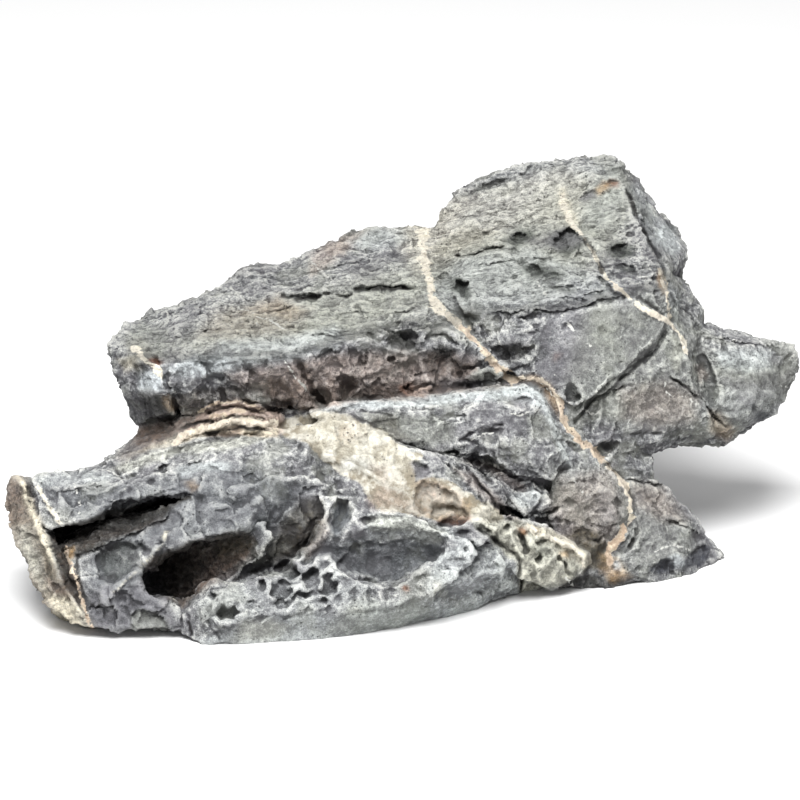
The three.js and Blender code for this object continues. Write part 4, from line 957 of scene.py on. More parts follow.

# Stains and painted light: colour, how strong, how soft, then the outline. Later ones lie over earlier ones.
# Where a row is marked painted shade or painted light, its colour stands in for light and shade.
STAINS_AND_PAINTED_LIGHT = [
    # the roof and the tower's top
    ("sage", 0.5, 14, [(-90, 20), (-60, 34), (-20, 44), (30, 60), (60, 80), (86, 88), (84, 60), (60, 40),
     (20, 36), (-50, 18)]),
    ("cream", 0.3, 8, [(-4, 66), (20, 76), (60, 88), (74, 84), (66, 66), (44, 66), (24, 56), (6, 48)]),
    ("dust and painted light", 0.2, 8, [(20, 66), (34, 84), (60, 90), (84, 90), (86, 78), (78, 66), (50, 64)]),
    ("blue white", 0.3, 7, [(10, 40), (24, 54), (50, 58), (76, 46), (88, 40), (70, 36.4), (40, 34),
     (20, 34)]),
    # painted shade, down to the violet grey: the hollows and pits of the roof and the tower darkened
    ("deep green painted shade", 0.8, 3, [(38, 60), (44, 64.4), (51, 65), (50, 60), (44, 57.4)]),
    ("deep green painted shade", 0.8, 3, [(54, 60), (62, 54.6), (68, 57), (71, 61), (64, 66), (59, 64)]),
    ("deep green painted shade", 0.8, 3, [(45, 51), (53, 51.4), (62, 48), (61, 46), (50, 45.6)]),
    ("deep green painted shade", 0.8, 3, [(78, 57), (83, 60.6), (90, 58), (88, 54), (81, 53)]),
    ("deep green painted shade", 0.6, 2, [(81, 51.5), (88, 50.7), (91, 47), (85, 48)]),
    ("deep green painted shade", 0.8, 2.6, [(18, 46), (23, 46.5), (28, 41), (25, 37.5), (20, 41)]),
    ("deep green painted shade", 0.6, 1.4, [(-18, 42.2), (-4, 43.5), (5, 43.2), (6, 42), (-5, 40.8), (-17, 41)]),
    ("deep green painted shade", 0.6, 1.4, [(-45, 40), (-34, 40), (-28, 40.6), (-34, 37.3), (-42, 38.2)]),
    ("deep green painted shade", 0.6, 2, [(21, 76.5), (33, 79.8), (45, 84), (38, 82.6), (25, 79)]),
    ("deep green painted shade", 0.6, 2, [(55, 42), (60, 43.6), (68, 42), (64, 40.5)]),
    ("deep green painted shade", 0.6, 1.6, [(23, 32.6), (30, 32), (30.4, 29.5), (27, 26.6), (25, 28)]),
    ("violet grey and painted shade", 0.5, 4, [(48, 60), (60, 56), (70, 60), (64, 66), (54, 62)]),
    ("tan", 0.3, 8, [(-70, 34), (-50, 36), (-34, 34), (-40, 26), (-60, 24), (-76, 24)]),
    ("rose", 0.4, 4, [(-34, 55), (-24, 62), (-14, 64), (-18, 58), (-26, 52), (-34, 47)]),
    ("ochre", 0.2, 5, [(-46, 40), (-40, 36), (-36, 34), (-42, 31), (-50, 33), (-60, 33)]),
    ("tan", 0.2, 4, [(-30, 58), (-22, 62), (-18, 57), (-26, 54)]),
    ("dust and painted light", 0.4, 4, [(-20, 60), (-10, 64), (0, 66), (4, 60), (-10, 56)]),
    ("dust and painted light", 0.5, 5, [(-70, 18.4), (-40, 18), (-22, 24), (-24, 28), (-46, 23), (-68, 22)]),
    ("green grey", 0.5, 6, [(-104, 24), (-98, 30), (-88, 26), (-90, 16), (-102, 15)]),
    ("moss", 0.3, 5, [(-104, 22), (-98, 24), (-92, 18), (-94, 12), (-102, 14)]),
    ("cream", 0.6, 4, [(-107, 15), (-101, 16), (-99, 12), (-104, 11)]),
    ("rust", 0.9, 2.4, [(-95.6, 15), (-92.6, 16), (-90, 14), (-92, 12.4)]),
    ("dust and painted light", 0.5, 4, [(-90, 12), (-80, 15.6), (-66, 16.6), (-40, 17.4), (-22, 22), (-22, 19.6), (-40, 14.6),
     (-66, 12), (-84, 8)]),
    ("blue white", 0.55, 5, [(-86, 13), (-78, 16.4), (-66, 17), (-60, 15), (-64, 10), (-76, 9), (-84, 10)]),
    ("blue white", 0.8, 4, [(-100, 6), (-97, 11), (-92, 11), (-88.6, 9.6), (-90.6, 3), (-97, 3.4)]),
    # painted shadow under the bump at the roof's left end
    ("violet grey and painted shade", 0.5, 4, [(-103, 3), (-92, 3), (-88, -3), (-90, -6), (-100, -7)]),
    ("charcoal painted shade", 0.6, 3, [(-98, 0), (-92, 2.4), (-88, -1), (-87, -5.6), (-94, -7)]),
    ("ochre", 0.5, 2.4, [(-90, 1), (-88, 2), (-84, -3), (-85.6, -4.6), (-89, -2)]),
    ("rust", 0.7, 2, [(77, 81), (79.6, 83.6), (83, 82.4), (82.6, 80.6)]),
    ("ochre", 0.6, 2.4, [(74, 79.4), (77, 83), (80, 82), (78, 79), (75, 77.4)]),
    # painted shade in a pit
    ("violet grey and painted shade", 0.7, 2, [(67, 75), (70, 78.6), (74, 79.4), (74, 76.4), (70, 74.6)]),
    ("cream", 0.5, 3, [(60, 80), (62, 81), (66, 70), (68, 67), (64, 66), (61, 72)]),
    ("dust and painted light", 0.6, 3, [(96, 60), (99, 67), (103, 66), (106, 58), (104, 54)]),
    ("dust and painted light", 0.35, 4, [(86, 80), (90, 82), (100, 66), (98, 56), (94, 60)]),
    ("ochre", 0.6, 2.4, [(97, 48), (99, 49), (101, 42), (99.4, 40), (98, 44)]),
    # the undercut
    ("brown and painted shade", 0.25, 5, [(-56, 12), (-40, 15), (-22, 19), (-6, 17), (8, 14), (8, 4), (-10, 1), (-26, -2),
     (-44, -4)]),
    # partly the undercut's own violet grey, partly painted shade, since it faces down under the roof
    ("violet grey and painted shade", 0.3, 4, [(-66, 13), (-50, 15), (-30, 20), (-10, 23), (-4, 18), (-18, 14), (-40, 10),
     (-60, 7)]),
    ("violet grey and painted shade", 0.25, 5, [(-20, 16), (-8, 22), (10, 24), (24, 20), (30, 14), (24, 6), (0, 4),
     (-16, 6)]),
    # painted shade in the undercut's scoops, down to the umber
    ("charcoal painted shade", 0.6, 1.4, [(-6.5, 25.5), (5, 26.4), (7.2, 24), (6.8, 21), (1, 18.4), (-5.4, 22)]),
    ("charcoal painted shade", 0.6, 1.6, [(9, 16), (13.6, 21.4), (20.4, 20.6), (23.6, 14), (28.4, 13.4), (29.3, 11),
     (23.4, 7), (18.4, 10.4), (13.6, 6.6), (10.2, 9.2)]),
    ("charcoal painted shade", 0.5, 2.4, [(34, 20), (45, 21.6), (50.6, 20), (46, 15), (40, 13)]),
    ("umber", 0.6, 1.8, [(-40, 15.4), (-36, 14.6), (-33, 5.5), (-28.6, 1), (-26.4, -3), (-34, 2.5),
     (-39.6, 12)]),
    # painted shade in a scoop
    ("charcoal painted shade", 0.6, 2, [(-24, 8.6), (-17, 8.2), (-15.4, 6.5), (-20, 0), (-22.6, -1.6)]),
    ("umber", 0.7, 2, [(-50, 8), (-45, 8.6), (-40, 3), (-38, -3), (-46, -3.4), (-51.6, 0.6)]),
    ("rose", 0.4, 5, [(-66, 10), (-40, 14), (-20, 18), (6, 18), (30, 16), (28, 8), (0, 3), (-30, -2),
     (-60, 4)]),
    ("rose", 0.55, 2.4, [(-41.6, 8), (-38, 8), (-32, -2), (-30, -3.4), (-38, -4), (-40, 2)]),
    ("rose", 0.5, 2, [(-27.6, 8), (-24.6, 8), (-24, 0), (-21, -3), (-28, -3)]),
    ("umber", 0.5, 3, [(-90, 0), (-76, 4), (-62, 5), (-54, 1), (-70, -3), (-84, -5)]),
    # the fold and the ledges
    ("brown and painted shade", 0.75, 4, [(-104, -12), (-92, -8), (-76, -5), (-60, 0), (-46, -3), (-44, -9), (-60, -11),
     (-80, -12), (-96, -19)]),
    ("umber", 0.7, 2, [(-82, -8), (-76, -4), (-66, -3), (-56, -3), (-46, -5), (-44, -9), (-56, -8),
     (-70, -9)]),
    ("rose", 0.8, 1.4, [(-82, -12.6), (-76, -6), (-70, -1.6), (-62, 0.8), (-54, -1.6), (-44, -6),
     (-44, -13), (-60, -13.6), (-72, -13.8)]),
    ("rose", 0.8, 1.2, [(-72, -7.6), (-66, -4), (-62, -2.4), (-58.6, -3), (-56.6, -6.4), (-62, -6),
     (-66, -7.6)]),
    ("tan", 0.8, 1.4, [(-86, -17), (-80, -11.4), (-72, -8.4), (-62, -5.6), (-58, -6.4), (-54, -7.6),
     (-46, -7), (-46, -14), (-60, -14), (-72, -13), (-80, -15)]),
    ("cream", 0.5, 1.2, [(-80, -12.6), (-71, -8.8), (-62.4, -6), (-59, -6.6), (-57, -9), (-62, -9),
     (-70, -11.6)]),
    ("cream", 0.6, 1.4, [(-58, -9.4), (-54, -8.6), (-47, -8), (-46, -13.6), (-54, -13.4), (-60, -13)]),
    ("cream", 0.4, 2, [(-103, -21), (-88, -14.4), (-74, -11.6), (-62, -11), (-74, -14), (-90, -18)]),
    ("brown and painted shade", 0.65, 3, [(-18, 2), (-10, 5), (0, 6.4), (14, 6), (30, 4.6), (44, 6.4), (50, 7.6), (36, 3.6),
     (14, 1.4), (-8, -0.4)]),
    ("rust", 0.4, 2, [(-1, 5.6), (4, 6.4), (7, 3.4), (3, 1.6), (0, 2.6)]),
    ("rose", 0.6, 2, [(3, 1), (5, 4.6), (9, 5.6), (13.6, 4), (10, 1.6)]),
    ("ochre", 0.5, 3, [(44, 8), (50, 9.4), (56, 7), (61, 0), (60, -6), (57, -2), (52, 6)]),
    ("green grey", 0.6, 3, [(26, 8), (30, 12), (36, 12), (40, 9), (34, 7)]),
    ("dust and painted light", 0.7, 3, [(-30, -3.4), (-14, -0.4), (6, -0.4), (18, 2.6), (44, 5), (51, 6), (55, 0), (54, -3),
     (40, 0.4), (16, -1.6), (-10, -3.4)]),
    # the shelf
    ("green grey", 0.5, 4, [(-16, -5), (0, -5), (20, -8), (21, -16), (8, -18), (-2, -14), (-10, -10)]),
    ("moss", 0.4, 3, [(-14, -5.4), (-2, -5.4), (0, -12), (6, -16), (0, -16), (-6, -11)]),
    ("violet grey and painted shade", 0.6, 3, [(41, 0), (46, 1.6), (51, 1), (50, -2.6), (44, -3.4)]),
    # painted shade in a hollow
    ("charcoal painted shade", 0.35, 3, [(30, -10.6), (39.4, -10), (39, -14), (34, -16.6), (29, -15)]),
    ("dust and painted light", 0.5, 2.4, [(50, 6), (53, 4), (58, -6), (64, -20), (65, -26), (61, -22), (56, -8), (51, 2)]),
    ("green grey", 0.45, 3, [(47, -6), (52, -5), (54, -9), (49, -10)]),
    ("brown and painted shade", 0.5, 3, [(23, -23), (34, -23.6), (46, -31), (50, -38), (44, -34), (34, -27)]),
    ("rose", 0.35, 3, [(20, -26), (28, -28), (38, -38), (47, -47), (42, -46), (30, -36)]),
    ("dust and painted light", 0.5, 3, [(42, -36), (50, -33.4), (54, -36), (50, -40), (45, -40)]),
    # the calcite
    ("white", 0.7, 4, [(-32, -5), (-20, -6), (-12, -9.6), (-4, -13), (2, -19), (6, -23), (2, -27),
     (-10, -26), (-20, -22), (-31, -19), (-38, -12)]),
    ("tan", 0.45, 4, [(-24, -10), (-18, -9), (-14, -13), (-20, -16), (-25, -14)]),
    ("dust and painted light", 0.5, 4, [(-22, -22), (-14, -22), (-8, -26), (-14, -28), (-22, -26)]),
    ("rose", 0.6, 4, [(-12, -25), (-5, -25), (-4, -29), (-8, -33), (-12, -38), (-11, -41), (2, -42),
     (8, -43), (4, -38), (-3, -33)]),
    ("tan", 0.8, 2.6, [(5.4, -31), (10, -30), (17, -32), (23, -36), (27, -42), (25, -45), (16, -46),
     (8, -43.6), (4.6, -38)]),
    ("rose", 0.5, 3, [(7, -31), (14, -31), (20, -34.6), (14, -38), (8, -36)]),
    # painted shadow in the lower side of the tan hollow
    ("brown and painted shade", 0.5, 1.6, [(5.4, -38), (7, -41), (9.4, -42.4), (12, -40.6), (18, -39), (24, -40.6),
     (27, -43.4), (25, -45), (24, -42.4), (18, -41), (13, -42), (10, -44), (6, -42.4)]),
    ("rust", 0.8, 1.4, [(13.4, -46), (17, -44.8), (21, -43.6), (27, -43.6), (27.4, -45), (23, -47.2),
     (17, -47.6)]),
    # painted shade in the hole under the tan hollow
    ("charcoal painted shade", 0.7, 1.2, [(15, -46.2), (20, -44.6), (26, -44.4), (23, -46.6), (18, -47)]),
    ("white", 0.85, 2.4, [(27, -42), (30, -39), (33.4, -38.4), (37, -42), (38, -45), (34, -46),
     (29, -44.6)]),
    ("ochre", 0.35, 2, [(24, -37), (28, -39), (27, -43), (25, -41)]),
    # painted shade in a shallow hollow
    ("violet grey and painted shade", 0.75, 2, [(3.2, -23.6), (10.4, -25), (12.4, -27.5), (9.4, -29.8), (6, -30.2),
     (4.4, -27)]),
    ("moss", 0.4, 3, [(-6, -33), (0, -32.6), (5, -35), (4, -39), (-3, -37.6)]),
    # the bowl, the bay and the cavity
    ("dust and painted light", 0.35, 3, [(-12, -43), (0, -44), (14, -47), (24, -50), (26, -54), (14, -53), (0, -51),
     (-14, -53)]),
    # painted shade in the bowl
    ("slate and painted shade", 0.45, 4, [(-40, -62), (-34, -56), (-26, -54), (-8, -53), (8, -52.4), (16.6, -55), (15, -59.6),
     (7, -64.4), (-3, -70), (-12, -67.6), (-22, -64), (-28, -58.6), (-34, -62)]),
    ("slate and painted shade", 0.4, 4, [(2, -54), (10, -53), (15, -55), (13, -59.6), (5, -64), (-2, -68), (-4, -62)]),
    # partly the plate's own greenish colour, partly painted highlight
    ("pale green and painted highlight", 0.45, 3, [(-14, -46), (-8, -43.4), (2, -44), (12, -46.6), (18, -51), (12, -50.6),
     (0, -49), (-10, -49.4)]),
    # painted shade in the arch's pocket
    ("slate and painted shade", 0.8, 2.4, [(-26, -41), (-23, -39.2), (-19.4, -40), (-18.8, -44), (-20, -48), (-24, -52),
     (-27, -50), (-26, -46)]),
    ("rose", 0.3, 3, [(-30, -50), (-28, -44), (-27, -49), (-30, -56), (-36, -61), (-36, -58)]),
    ("moss", 0.5, 5, [(-44, -44), (-36, -38), (-29, -38), (-28, -48), (-33, -54), (-42, -59), (-52, -62),
     (-48, -54)]),
    ("umber", 0.6, 3, [(-38, -50), (-33, -45), (-30, -44), (-29, -49), (-33, -55), (-41, -59), (-48, -61),
     (-40, -56)]),
    # painted shade in the deep corner beside the arch
    ("charcoal painted shade", 0.5, 5, [(-42, -42), (-34, -37), (-30, -42), (-30, -50), (-36, -57), (-46, -61),
     (-50, -57), (-45, -48)]),
    ("charcoal painted shade", 0.8, 2.4, [(-34, -48), (-31, -44), (-29.6, -48), (-32, -54), (-38, -58), (-46, -61),
     (-42, -57), (-37, -53)]),
    ("umber", 0.8, 1.2, [(-98.7, -67.1), (-94.7, -60.6), (-89.8, -57.4), (-74.4, -52.5), (-66.3, -50.1),
     (-59.8, -49.6), (-54.9, -51.7), (-54.1, -54.9), (-58.2, -59), (-66.3, -64.7), (-72, -68.7),
     (-81.7, -79.3), (-89, -75.2), (-98, -70.3)]),
    # painted shade in the cavity, over its umber
    ("charcoal painted shade", 0.6, 4, [(-99, -68), (-95, -60), (-88, -57), (-80, -55), (-78, -62), (-82, -72),
     (-88, -77), (-96, -72)]),
    ("moss", 0.6, 3, [(-72, -54), (-64, -50), (-57, -50), (-55, -54), (-60, -60), (-68, -62)]),
    ("brown and painted shade", 0.5, 4, [(-70, -60), (-58, -56), (-54, -58), (-64, -67), (-72, -71), (-78, -74), (-76, -66)]),
    # painted shade in the recess behind the front lobe's rim
    ("charcoal painted shade", 0.7, 1.6, [(-48.4, -62.4), (-45, -61.6), (-40, -62), (-37.6, -66), (-41, -68),
     (-45, -65.4)]),
    # the front lobe
    ("dust and painted light", 0.2, 6, [(-78, -76), (-60, -70), (-30, -62), (-10, -70), (-10, -78), (-50, -84), (-72, -86)]),
    ("dust and painted light", 0.35, 3, [(-80, -92), (-62, -86.4), (-50, -82), (-20, -81), (6, -79.6), (34, -76), (30, -84),
     (-20, -94), (-60, -100)]),
    ("dust and painted light", 0.45, 6, [(-14, -78), (20, -75), (46, -72), (40, -86), (-14, -94)]),
    ("pale green and painted highlight", 0.5, 5, [(-60, -84), (-50, -83), (-42, -86), (-50, -91), (-64, -92)]),
    ("green grey", 0.4, 6, [(-20, -78), (4, -76), (14, -80), (0, -88), (-30, -90)]),
    ("rust", 0.8, 1.6, [(0, -71), (2, -70), (4, -71.6), (2.4, -73)]),
    ("cream", 0.4, 2, [(12, -69), (15, -68), (16, -71), (13, -73)]),
    # the tip
    ("pale green and painted highlight", 0.9, 3, [(27, -46), (38, -45.6), (46, -46), (58, -50), (70, -57), (70, -64), (62, -70),
     (46, -73), (44, -62), (34, -52)]),
    ("dust and painted light", 0.4, 4, [(14, -58), (24, -53), (36, -56), (44, -62), (44, -72), (30, -75), (10, -72)]),
    ("white", 0.4, 3, [(30, -46), (46, -46), (60, -51), (71, -58), (70, -65), (60, -70), (46, -72),
     (44, -62)]),
    ("cream", 0.6, 2, [(48, -47), (56, -48.6), (66, -54), (71, -59), (70, -64), (66, -60), (60, -55),
     (52, -51)]),
    ("green grey", 0.5, 3, [(50, -55), (56, -54), (58, -60), (52, -62)]),
    ("orange", 0.85, 1.6, [(45, -47.8), (48.4, -48), (48, -51), (46, -51.6)]),
    ("ochre", 0.6, 1.6, [(49, -48), (52, -47.6), (54, -49.6), (51, -51)]),
    ("ochre", 0.6, 1.6, [(60.6, -57), (63.4, -57.4), (64, -60.4), (61.4, -59.6)]),
    # painted shade in the tip's holes and under the tip
    ("charcoal painted shade", 0.6, 1.6, [(45.2, -51.4), (46.6, -50.4), (48.8, -57), (47.4, -59), (45.6, -55)]),
    ("charcoal painted shade", 0.5, 2, [(30, -46.6), (34, -48.6), (38.6, -54), (35, -53), (30, -48.4)]),
    ("charcoal painted shade", 0.8, 2.6, [(60, -67.4), (70, -66), (82, -67), (90, -69.6), (80, -72), (60, -72)]),
    # the left block and its end cap
    ("moss", 0.35, 4, [(-156, -28), (-142, -28), (-139, -38), (-135, -50), (-131, -62), (-126, -74),
     (-118, -92), (-156, -92)]),
    ("tan", 0.4, 4, [(-156, -28), (-142, -28), (-139, -38), (-135, -50), (-131, -62), (-126, -74),
     (-118, -92), (-156, -92)]),
    ("brown and painted shade", 0.5, 6, [(-150, -32), (-144, -31), (-141, -42), (-143, -52), (-150, -46)]),
    ("cream", 0.75, 2.4, [(-145, -29), (-142, -31), (-139.6, -38), (-136.6, -46), (-134, -52),
     (-131.6, -58), (-130.4, -62), (-133, -61), (-136.6, -53), (-140, -44), (-143, -36)]),
    ("pale green and painted highlight", 0.5, 6, [(-146, -48), (-141, -48), (-136, -60), (-135, -72), (-142, -62)]),
    ("moss", 0.5, 3, [(-136, -58), (-132, -60), (-128, -68), (-122, -75), (-126, -74), (-134, -66)]),
    ("cream", 0.8, 4, [(-134, -74), (-126, -74), (-119, -80), (-114, -90), (-128, -88)]),
    ("brown and painted shade", 0.6, 2, [(-134, -67), (-126, -72), (-124, -77), (-130, -73)]),
    ("slate and painted shade", 0.55, 8, [(-136, -34), (-100, -32), (-60, -24), (-34, -34), (-50, -50), (-90, -56),
     (-118, -60), (-120, -86), (-86, -86), (-90, -70)]),
    ("violet grey and painted shade", 0.5, 4, [(-120, -74), (-112, -70), (-104, -72), (-94, -64), (-88, -74), (-84, -86),
     (-116, -88)]),
    ("green grey", 0.45, 2, [(-102, -82), (-99, -79.6), (-93, -80.4), (-88, -84), (-87, -90), (-102, -90)]),
    # painted shade in the block's large dish
    ("deep green painted shade", 0.45, 3, [(-115, -60), (-111, -55), (-103, -53), (-97, -55), (-99, -63), (-106, -68),
     (-112, -68)]),
    ("dust and painted light", 0.35, 4, [(-138, -29), (-118, -27), (-106, -28), (-112, -31), (-136, -33)]),
    ("pale green and painted highlight", 0.5, 3, [(-110, -26), (-98, -21), (-84, -17), (-60, -14), (-50, -14), (-60, -18),
     (-84, -20.4), (-104, -27.4)]),
    ("dust and painted light", 0.6, 3, [(-84, -26), (-76, -23.4), (-64, -24), (-64, -27), (-76, -27), (-83, -30)]),
    ("white", 1.0, 0.5, [(-89.4, -49), (-87.8, -49.4), (-88.6, -53.6), (-93, -57.8), (-96.4, -61.8),
     (-100.6, -65.8), (-105.4, -70), (-110, -74.4), (-106.6, -71.4), (-101.6, -66.8), (-97.6, -62.6),
     (-94.4, -58.6), (-90.2, -55)]),
    # a dark crust on the ledge under the slit, darkened further: painted shade under the slit's upper lip
    ("charcoal painted shade", 0.85, 1.6, [(-134, -50), (-118, -46), (-100, -43), (-90, -40), (-86, -42), (-92, -45.6),
     (-100, -49.8), (-108, -53.4), (-114, -56), (-121, -59.4), (-131, -59)]),
    ("umber", 0.3, 2, [(-133, -52), (-118, -49), (-100, -48), (-90, -44), (-88, -46), (-98, -50),
     (-112, -53), (-120, -57), (-130, -57)]),
    ("ochre", 0.7, 2, [(-126, -56), (-123.4, -55), (-123.6, -60), (-125.6, -60)]),
    ("umber", 0.9, 2, [(-130, -58), (-127, -57), (-121, -68), (-119.4, -78), (-122, -78), (-128, -69)]),
    # painted shade in the crack along the cap
    ("charcoal painted shade", 0.6, 2, [(-130, -60), (-127, -60), (-121, -74), (-121, -77), (-127, -70)]),
    # painted shade on the slit's lower lip and in the slit
    ("charcoal painted shade", 0.6, 2, [(-132, -52), (-118, -48.6), (-102, -47), (-100, -49), (-112, -51), (-120, -54),
     (-128, -55)]),
    ("charcoal painted shade", 0.9, 1.2, [(-133.6, -50.4), (-122, -46), (-108, -41), (-90, -38), (-80, -36), (-78, -37),
     (-88, -41.6), (-104, -46), (-120, -48.6)]),
    ("ochre", 0.35, 3, [(-81, -31), (-78, -30), (-76, -33), (-79, -35)]),
    # the wall, the foot and the tail
    ("green grey", 0.3, 6, [(58, -26), (74, -23), (84, -32), (87, -44), (80, -48), (66, -47), (56, -38)]),
    ("rose", 0.3, 8, [(60, -30), (80, -26), (86, -40), (80, -56), (62, -54), (56, -42)]),
    ("moss", 0.8, 3, [(66, -48), (76, -50), (79, -56), (78, -64), (70, -64), (71, -57), (64, -52)]),
    ("green grey", 0.35, 7, [(84, -28), (98, -30), (112, -50), (112, -58), (88, -66), (84, -52)]),
    ("rose", 0.35, 8, [(88, -32), (100, -33), (108, -46), (98, -45), (90, -40)]),
    ("ochre", 0.5, 3, [(76, -58), (82, -60), (88, -67), (80, -69), (76, -64)]),
    ("blue white", 0.7, 1.8, [(80, -60.6), (83, -61), (84, -64.4), (81, -64.6)]),
    # painted shade in a hollow
    ("charcoal painted shade", 0.5, 2, [(90.4, -43), (90.8, -47), (88, -52), (85, -57), (88, -55.6), (91.4, -49)]),
    ("blue black", 0.85, 1.4, [(94, -64.8), (98, -61), (102, -59.6), (104.6, -62.6), (104, -65.2),
     (98, -66.4)]),
    ("blue black", 0.85, 1.4, [(107.4, -60), (111, -57), (115.4, -54.8), (118, -56), (116.6, -60),
     (113.6, -63), (108.6, -64)]),
    ("blue white", 0.6, 1.6, [(102, -59), (105.4, -58), (108, -60), (107.6, -64), (105.4, -64)]),
    ("violet grey and painted shade", 0.3, 4, [(76, -34), (84, -36), (86, -46), (78, -48), (74, -42)]),
    # painted shade in a hollow
    ("charcoal painted shade", 0.35, 3, [(74, -16), (82, -15.6), (88, -19), (80, -20)]),
    ("umber", 0.55, 4, [(-108, -22), (-100, -12), (-90, -9), (-84, -12), (-92, -16), (-104, -24)]),
    # the overhang, the shoulder and the nose
    ("green grey", 0.45, 6, [(72, 28), (80, 28), (86, 14), (78, 16), (72, 22)]),
    # painted shadow in the overhang's gap, and painted shade in the hollow below it
    ("charcoal painted shade", 0.35, 1.8, [(66, -9), (76, 4), (84, 9.6), (90, 14), (98, 23), (101, 27), (94, 17),
     (86, 9.4), (76, 1.4)]),
    ("charcoal painted shade", 0.4, 2.4, [(62, 3), (68, 3), (68, -0.6), (64, -0.4)]),
    ("violet grey and painted shade", 0.4, 5, [(58, 30), (74, 30), (70, 10), (60, 8)]),
    ("rust", 0.5, 1.6, [(56.6, 15.4), (59, 17.4), (61, 18), (60, 16)]),
    ("pale green and painted highlight", 0.55, 2, [(102.4, 26.6), (106, 23), (108, 17.6), (105, 10.6), (103, 12)]),
    ("dust and painted light", 0.35, 3, [(100, 48), (106, 40), (106, 30), (102, 30), (101, 40)]),
    ("green grey", 0.35, 8, [(70, 36), (100, 42), (118, 20), (148, 14), (146, 0), (128, -12), (96, -12),
     (72, -8), (62, 6)]),
    ("rose", 0.3, 8, [(84, 4), (100, 7), (112, 2), (112, -8), (96, -10), (84, -6)]),
    ("rose", 0.35, 2.4, [(111.6, 12), (114, 14), (117, 10), (114, 6)]),
    ("dust and painted light", 0.5, 4, [(120, 18.6), (130, 19.6), (141, 18), (140, 12), (130, 10.6), (121, 13)]),
    ("green grey", 0.4, 6, [(118, 12), (148, 12), (148, 0), (128, 2)]),
    ("ochre", 0.35, 4, [(117, -4), (121, -5), (127, -11), (124, -16), (118, -12)]),
    ("blue black", 0.7, 1.4, [(133.4, -5), (136, -3.8), (140, -4.8), (140, -6.6), (136, -9), (134, -8)]),
    ("blue black", 0.5, 1.4, [(131.8, -1), (134.4, -0.6), (134.8, -4), (132.8, -3.8)]),
    # painted light on the nose's underside, which lies in shadow
    ("dust and painted light", 0.15, 5, [(112, -2), (124, 5), (146, 5), (142, -4), (128, -11), (114, -10)]),
    ("violet grey and painted shade", 0.4, 5, [(120, 9), (134, 8), (149, 12), (149, 2), (130, -2)]),
]


# ---------------------------------------------------------------- forms and skin


def voxel_copy(source, name, size_mm):
    """A new mesh: the source as one even, closed skin of quads of that size."""
    work = bpy.data.objects.new(name, source)
    bpy.context.scene.collection.objects.link(work)
    remesh = work.modifiers.new("voxels", "REMESH")
    remesh.mode = "VOXEL"
    remesh.voxel_size = size_mm * MM
    evaluated = work.evaluated_get(bpy.context.evaluated_depsgraph_get())
    mesh = bpy.data.meshes.new_from_object(evaluated)
    bpy.data.objects.remove(work)
    return mesh


def merged_copy(node):
    """The CAD node's loose triangles as one closed mesh, with the hull of the back's wedge in it."""
    mesh = bpy.data.meshes.new("merged")
    work = bmesh.new()
    work.from_mesh(node.data)
    bmesh.ops.remove_doubles(work, verts=work.verts, dist=1e-6)
    corners = [work.verts.new([c * MM for c in corner]) for corner in WEDGE]
    bmesh.ops.convex_hull(work, input=corners)
    work.to_mesh(mesh)
    work.free()
    return mesh


def hollows(sight, rows):
    """Depths inside outlines: 1.15 * depth * f(u / upper) * f(l / lower), where u and l are the
    distances from the upper side and from the rest, and f(t) = t * (2 - t). The lower wall reaches the
    middle unless the upper one is the wider."""
    total = np.zeros(len(sight.across), np.float32)
    for depth, upper, lower, outline in rows:
        chosen, from_upper, from_lower, inside = sight.ring(outline, 0)
        chosen, u, v = chosen[inside], from_upper[inside], from_lower[inside]
        if len(chosen):
            u = np.clip(u / upper, 0, 1)
            v = np.clip(v / (lower if upper > lower else max(lower, 1.1 * v.max())), 0, 1)
            total[chosen] += depth * 1.15 * u * (2 - u) * v * (2 - v) * sight.front[chosen]
    return total


def fills(sight, rows):
    """How far to bring places inside outlines toward the viewer, up to each outline's plane."""
    total = np.zeros(len(sight.across), np.float32)
    for level, across, up, wall, outline in rows:
        chosen, from_upper, from_lower, inside = sight.ring(outline, 0)
        chosen = chosen[inside]
        share = smoothstep(0, wall, np.minimum(from_upper, from_lower)[inside])
        middle = np.mean(outline, axis=0)
        plane = level + across * (sight.across[chosen] - middle[0]) + up * (sight.up[chosen] - middle[1])
        rise = np.maximum(plane - sight.near[chosen], 0) * share * sight.front[chosen]
        total[chosen] = np.maximum(total[chosen], rise)
    return total


def uneven(sight, chosen, share):
    """How strongly a line shows: it fades at its ends and comes and goes along its length."""
    ends = smoothstep(0, 0.1, share) * smoothstep(0, 0.1, 1 - share)
    return ends * np.clip(0.8 + 0.9 * sight.patchy[chosen], 0.1, 1.4) * sight.front[chosen]


def steps(sight, rows):
    """Heights beside lines: the left side up and the right side down, both fading over the reach."""
    total = np.zeros(len(sight.across), np.float32)
    for height, reach, points in rows:
        chosen, distance, side, share = sight.along(points, 3 * reach)
        total[chosen] += height * side * np.exp(-distance / reach) * uneven(sight, chosen, share)
    return total


def lines(sight, rows, power=1.6):
    """Heights on lines, with a cross section exp(-(distance / half-width)^power)."""
    total = np.zeros(len(sight.across), np.float32)
    for half_width, height, points in rows:
        chosen, distance, _, share = sight.along(points, 3 * half_width)
        strength = uneven(sight, chosen, share)
        profile = np.exp(-((distance / (half_width * (0.6 + 0.5 * strength))) ** power))
        total[chosen] += height * profile * strength
    return total


def beds(places, squeeze):
    """Coordinates for layered noise, squeezed across the beds, which rise a little to the right."""
    normal = sight_direction(*BEDS)
    return places + np.outer(places @ normal, normal) * squeeze


def sight_direction(across, up, near):
    """A direction given in the face's axes, as a unit vector in the stone's frame."""
    c, s = math.cos(LEAN_BACK), math.sin(LEAN_BACK)
    vector = np.array([across, up * s - near * c, up * c + near * s])
    return vector / np.linalg.norm(vector)


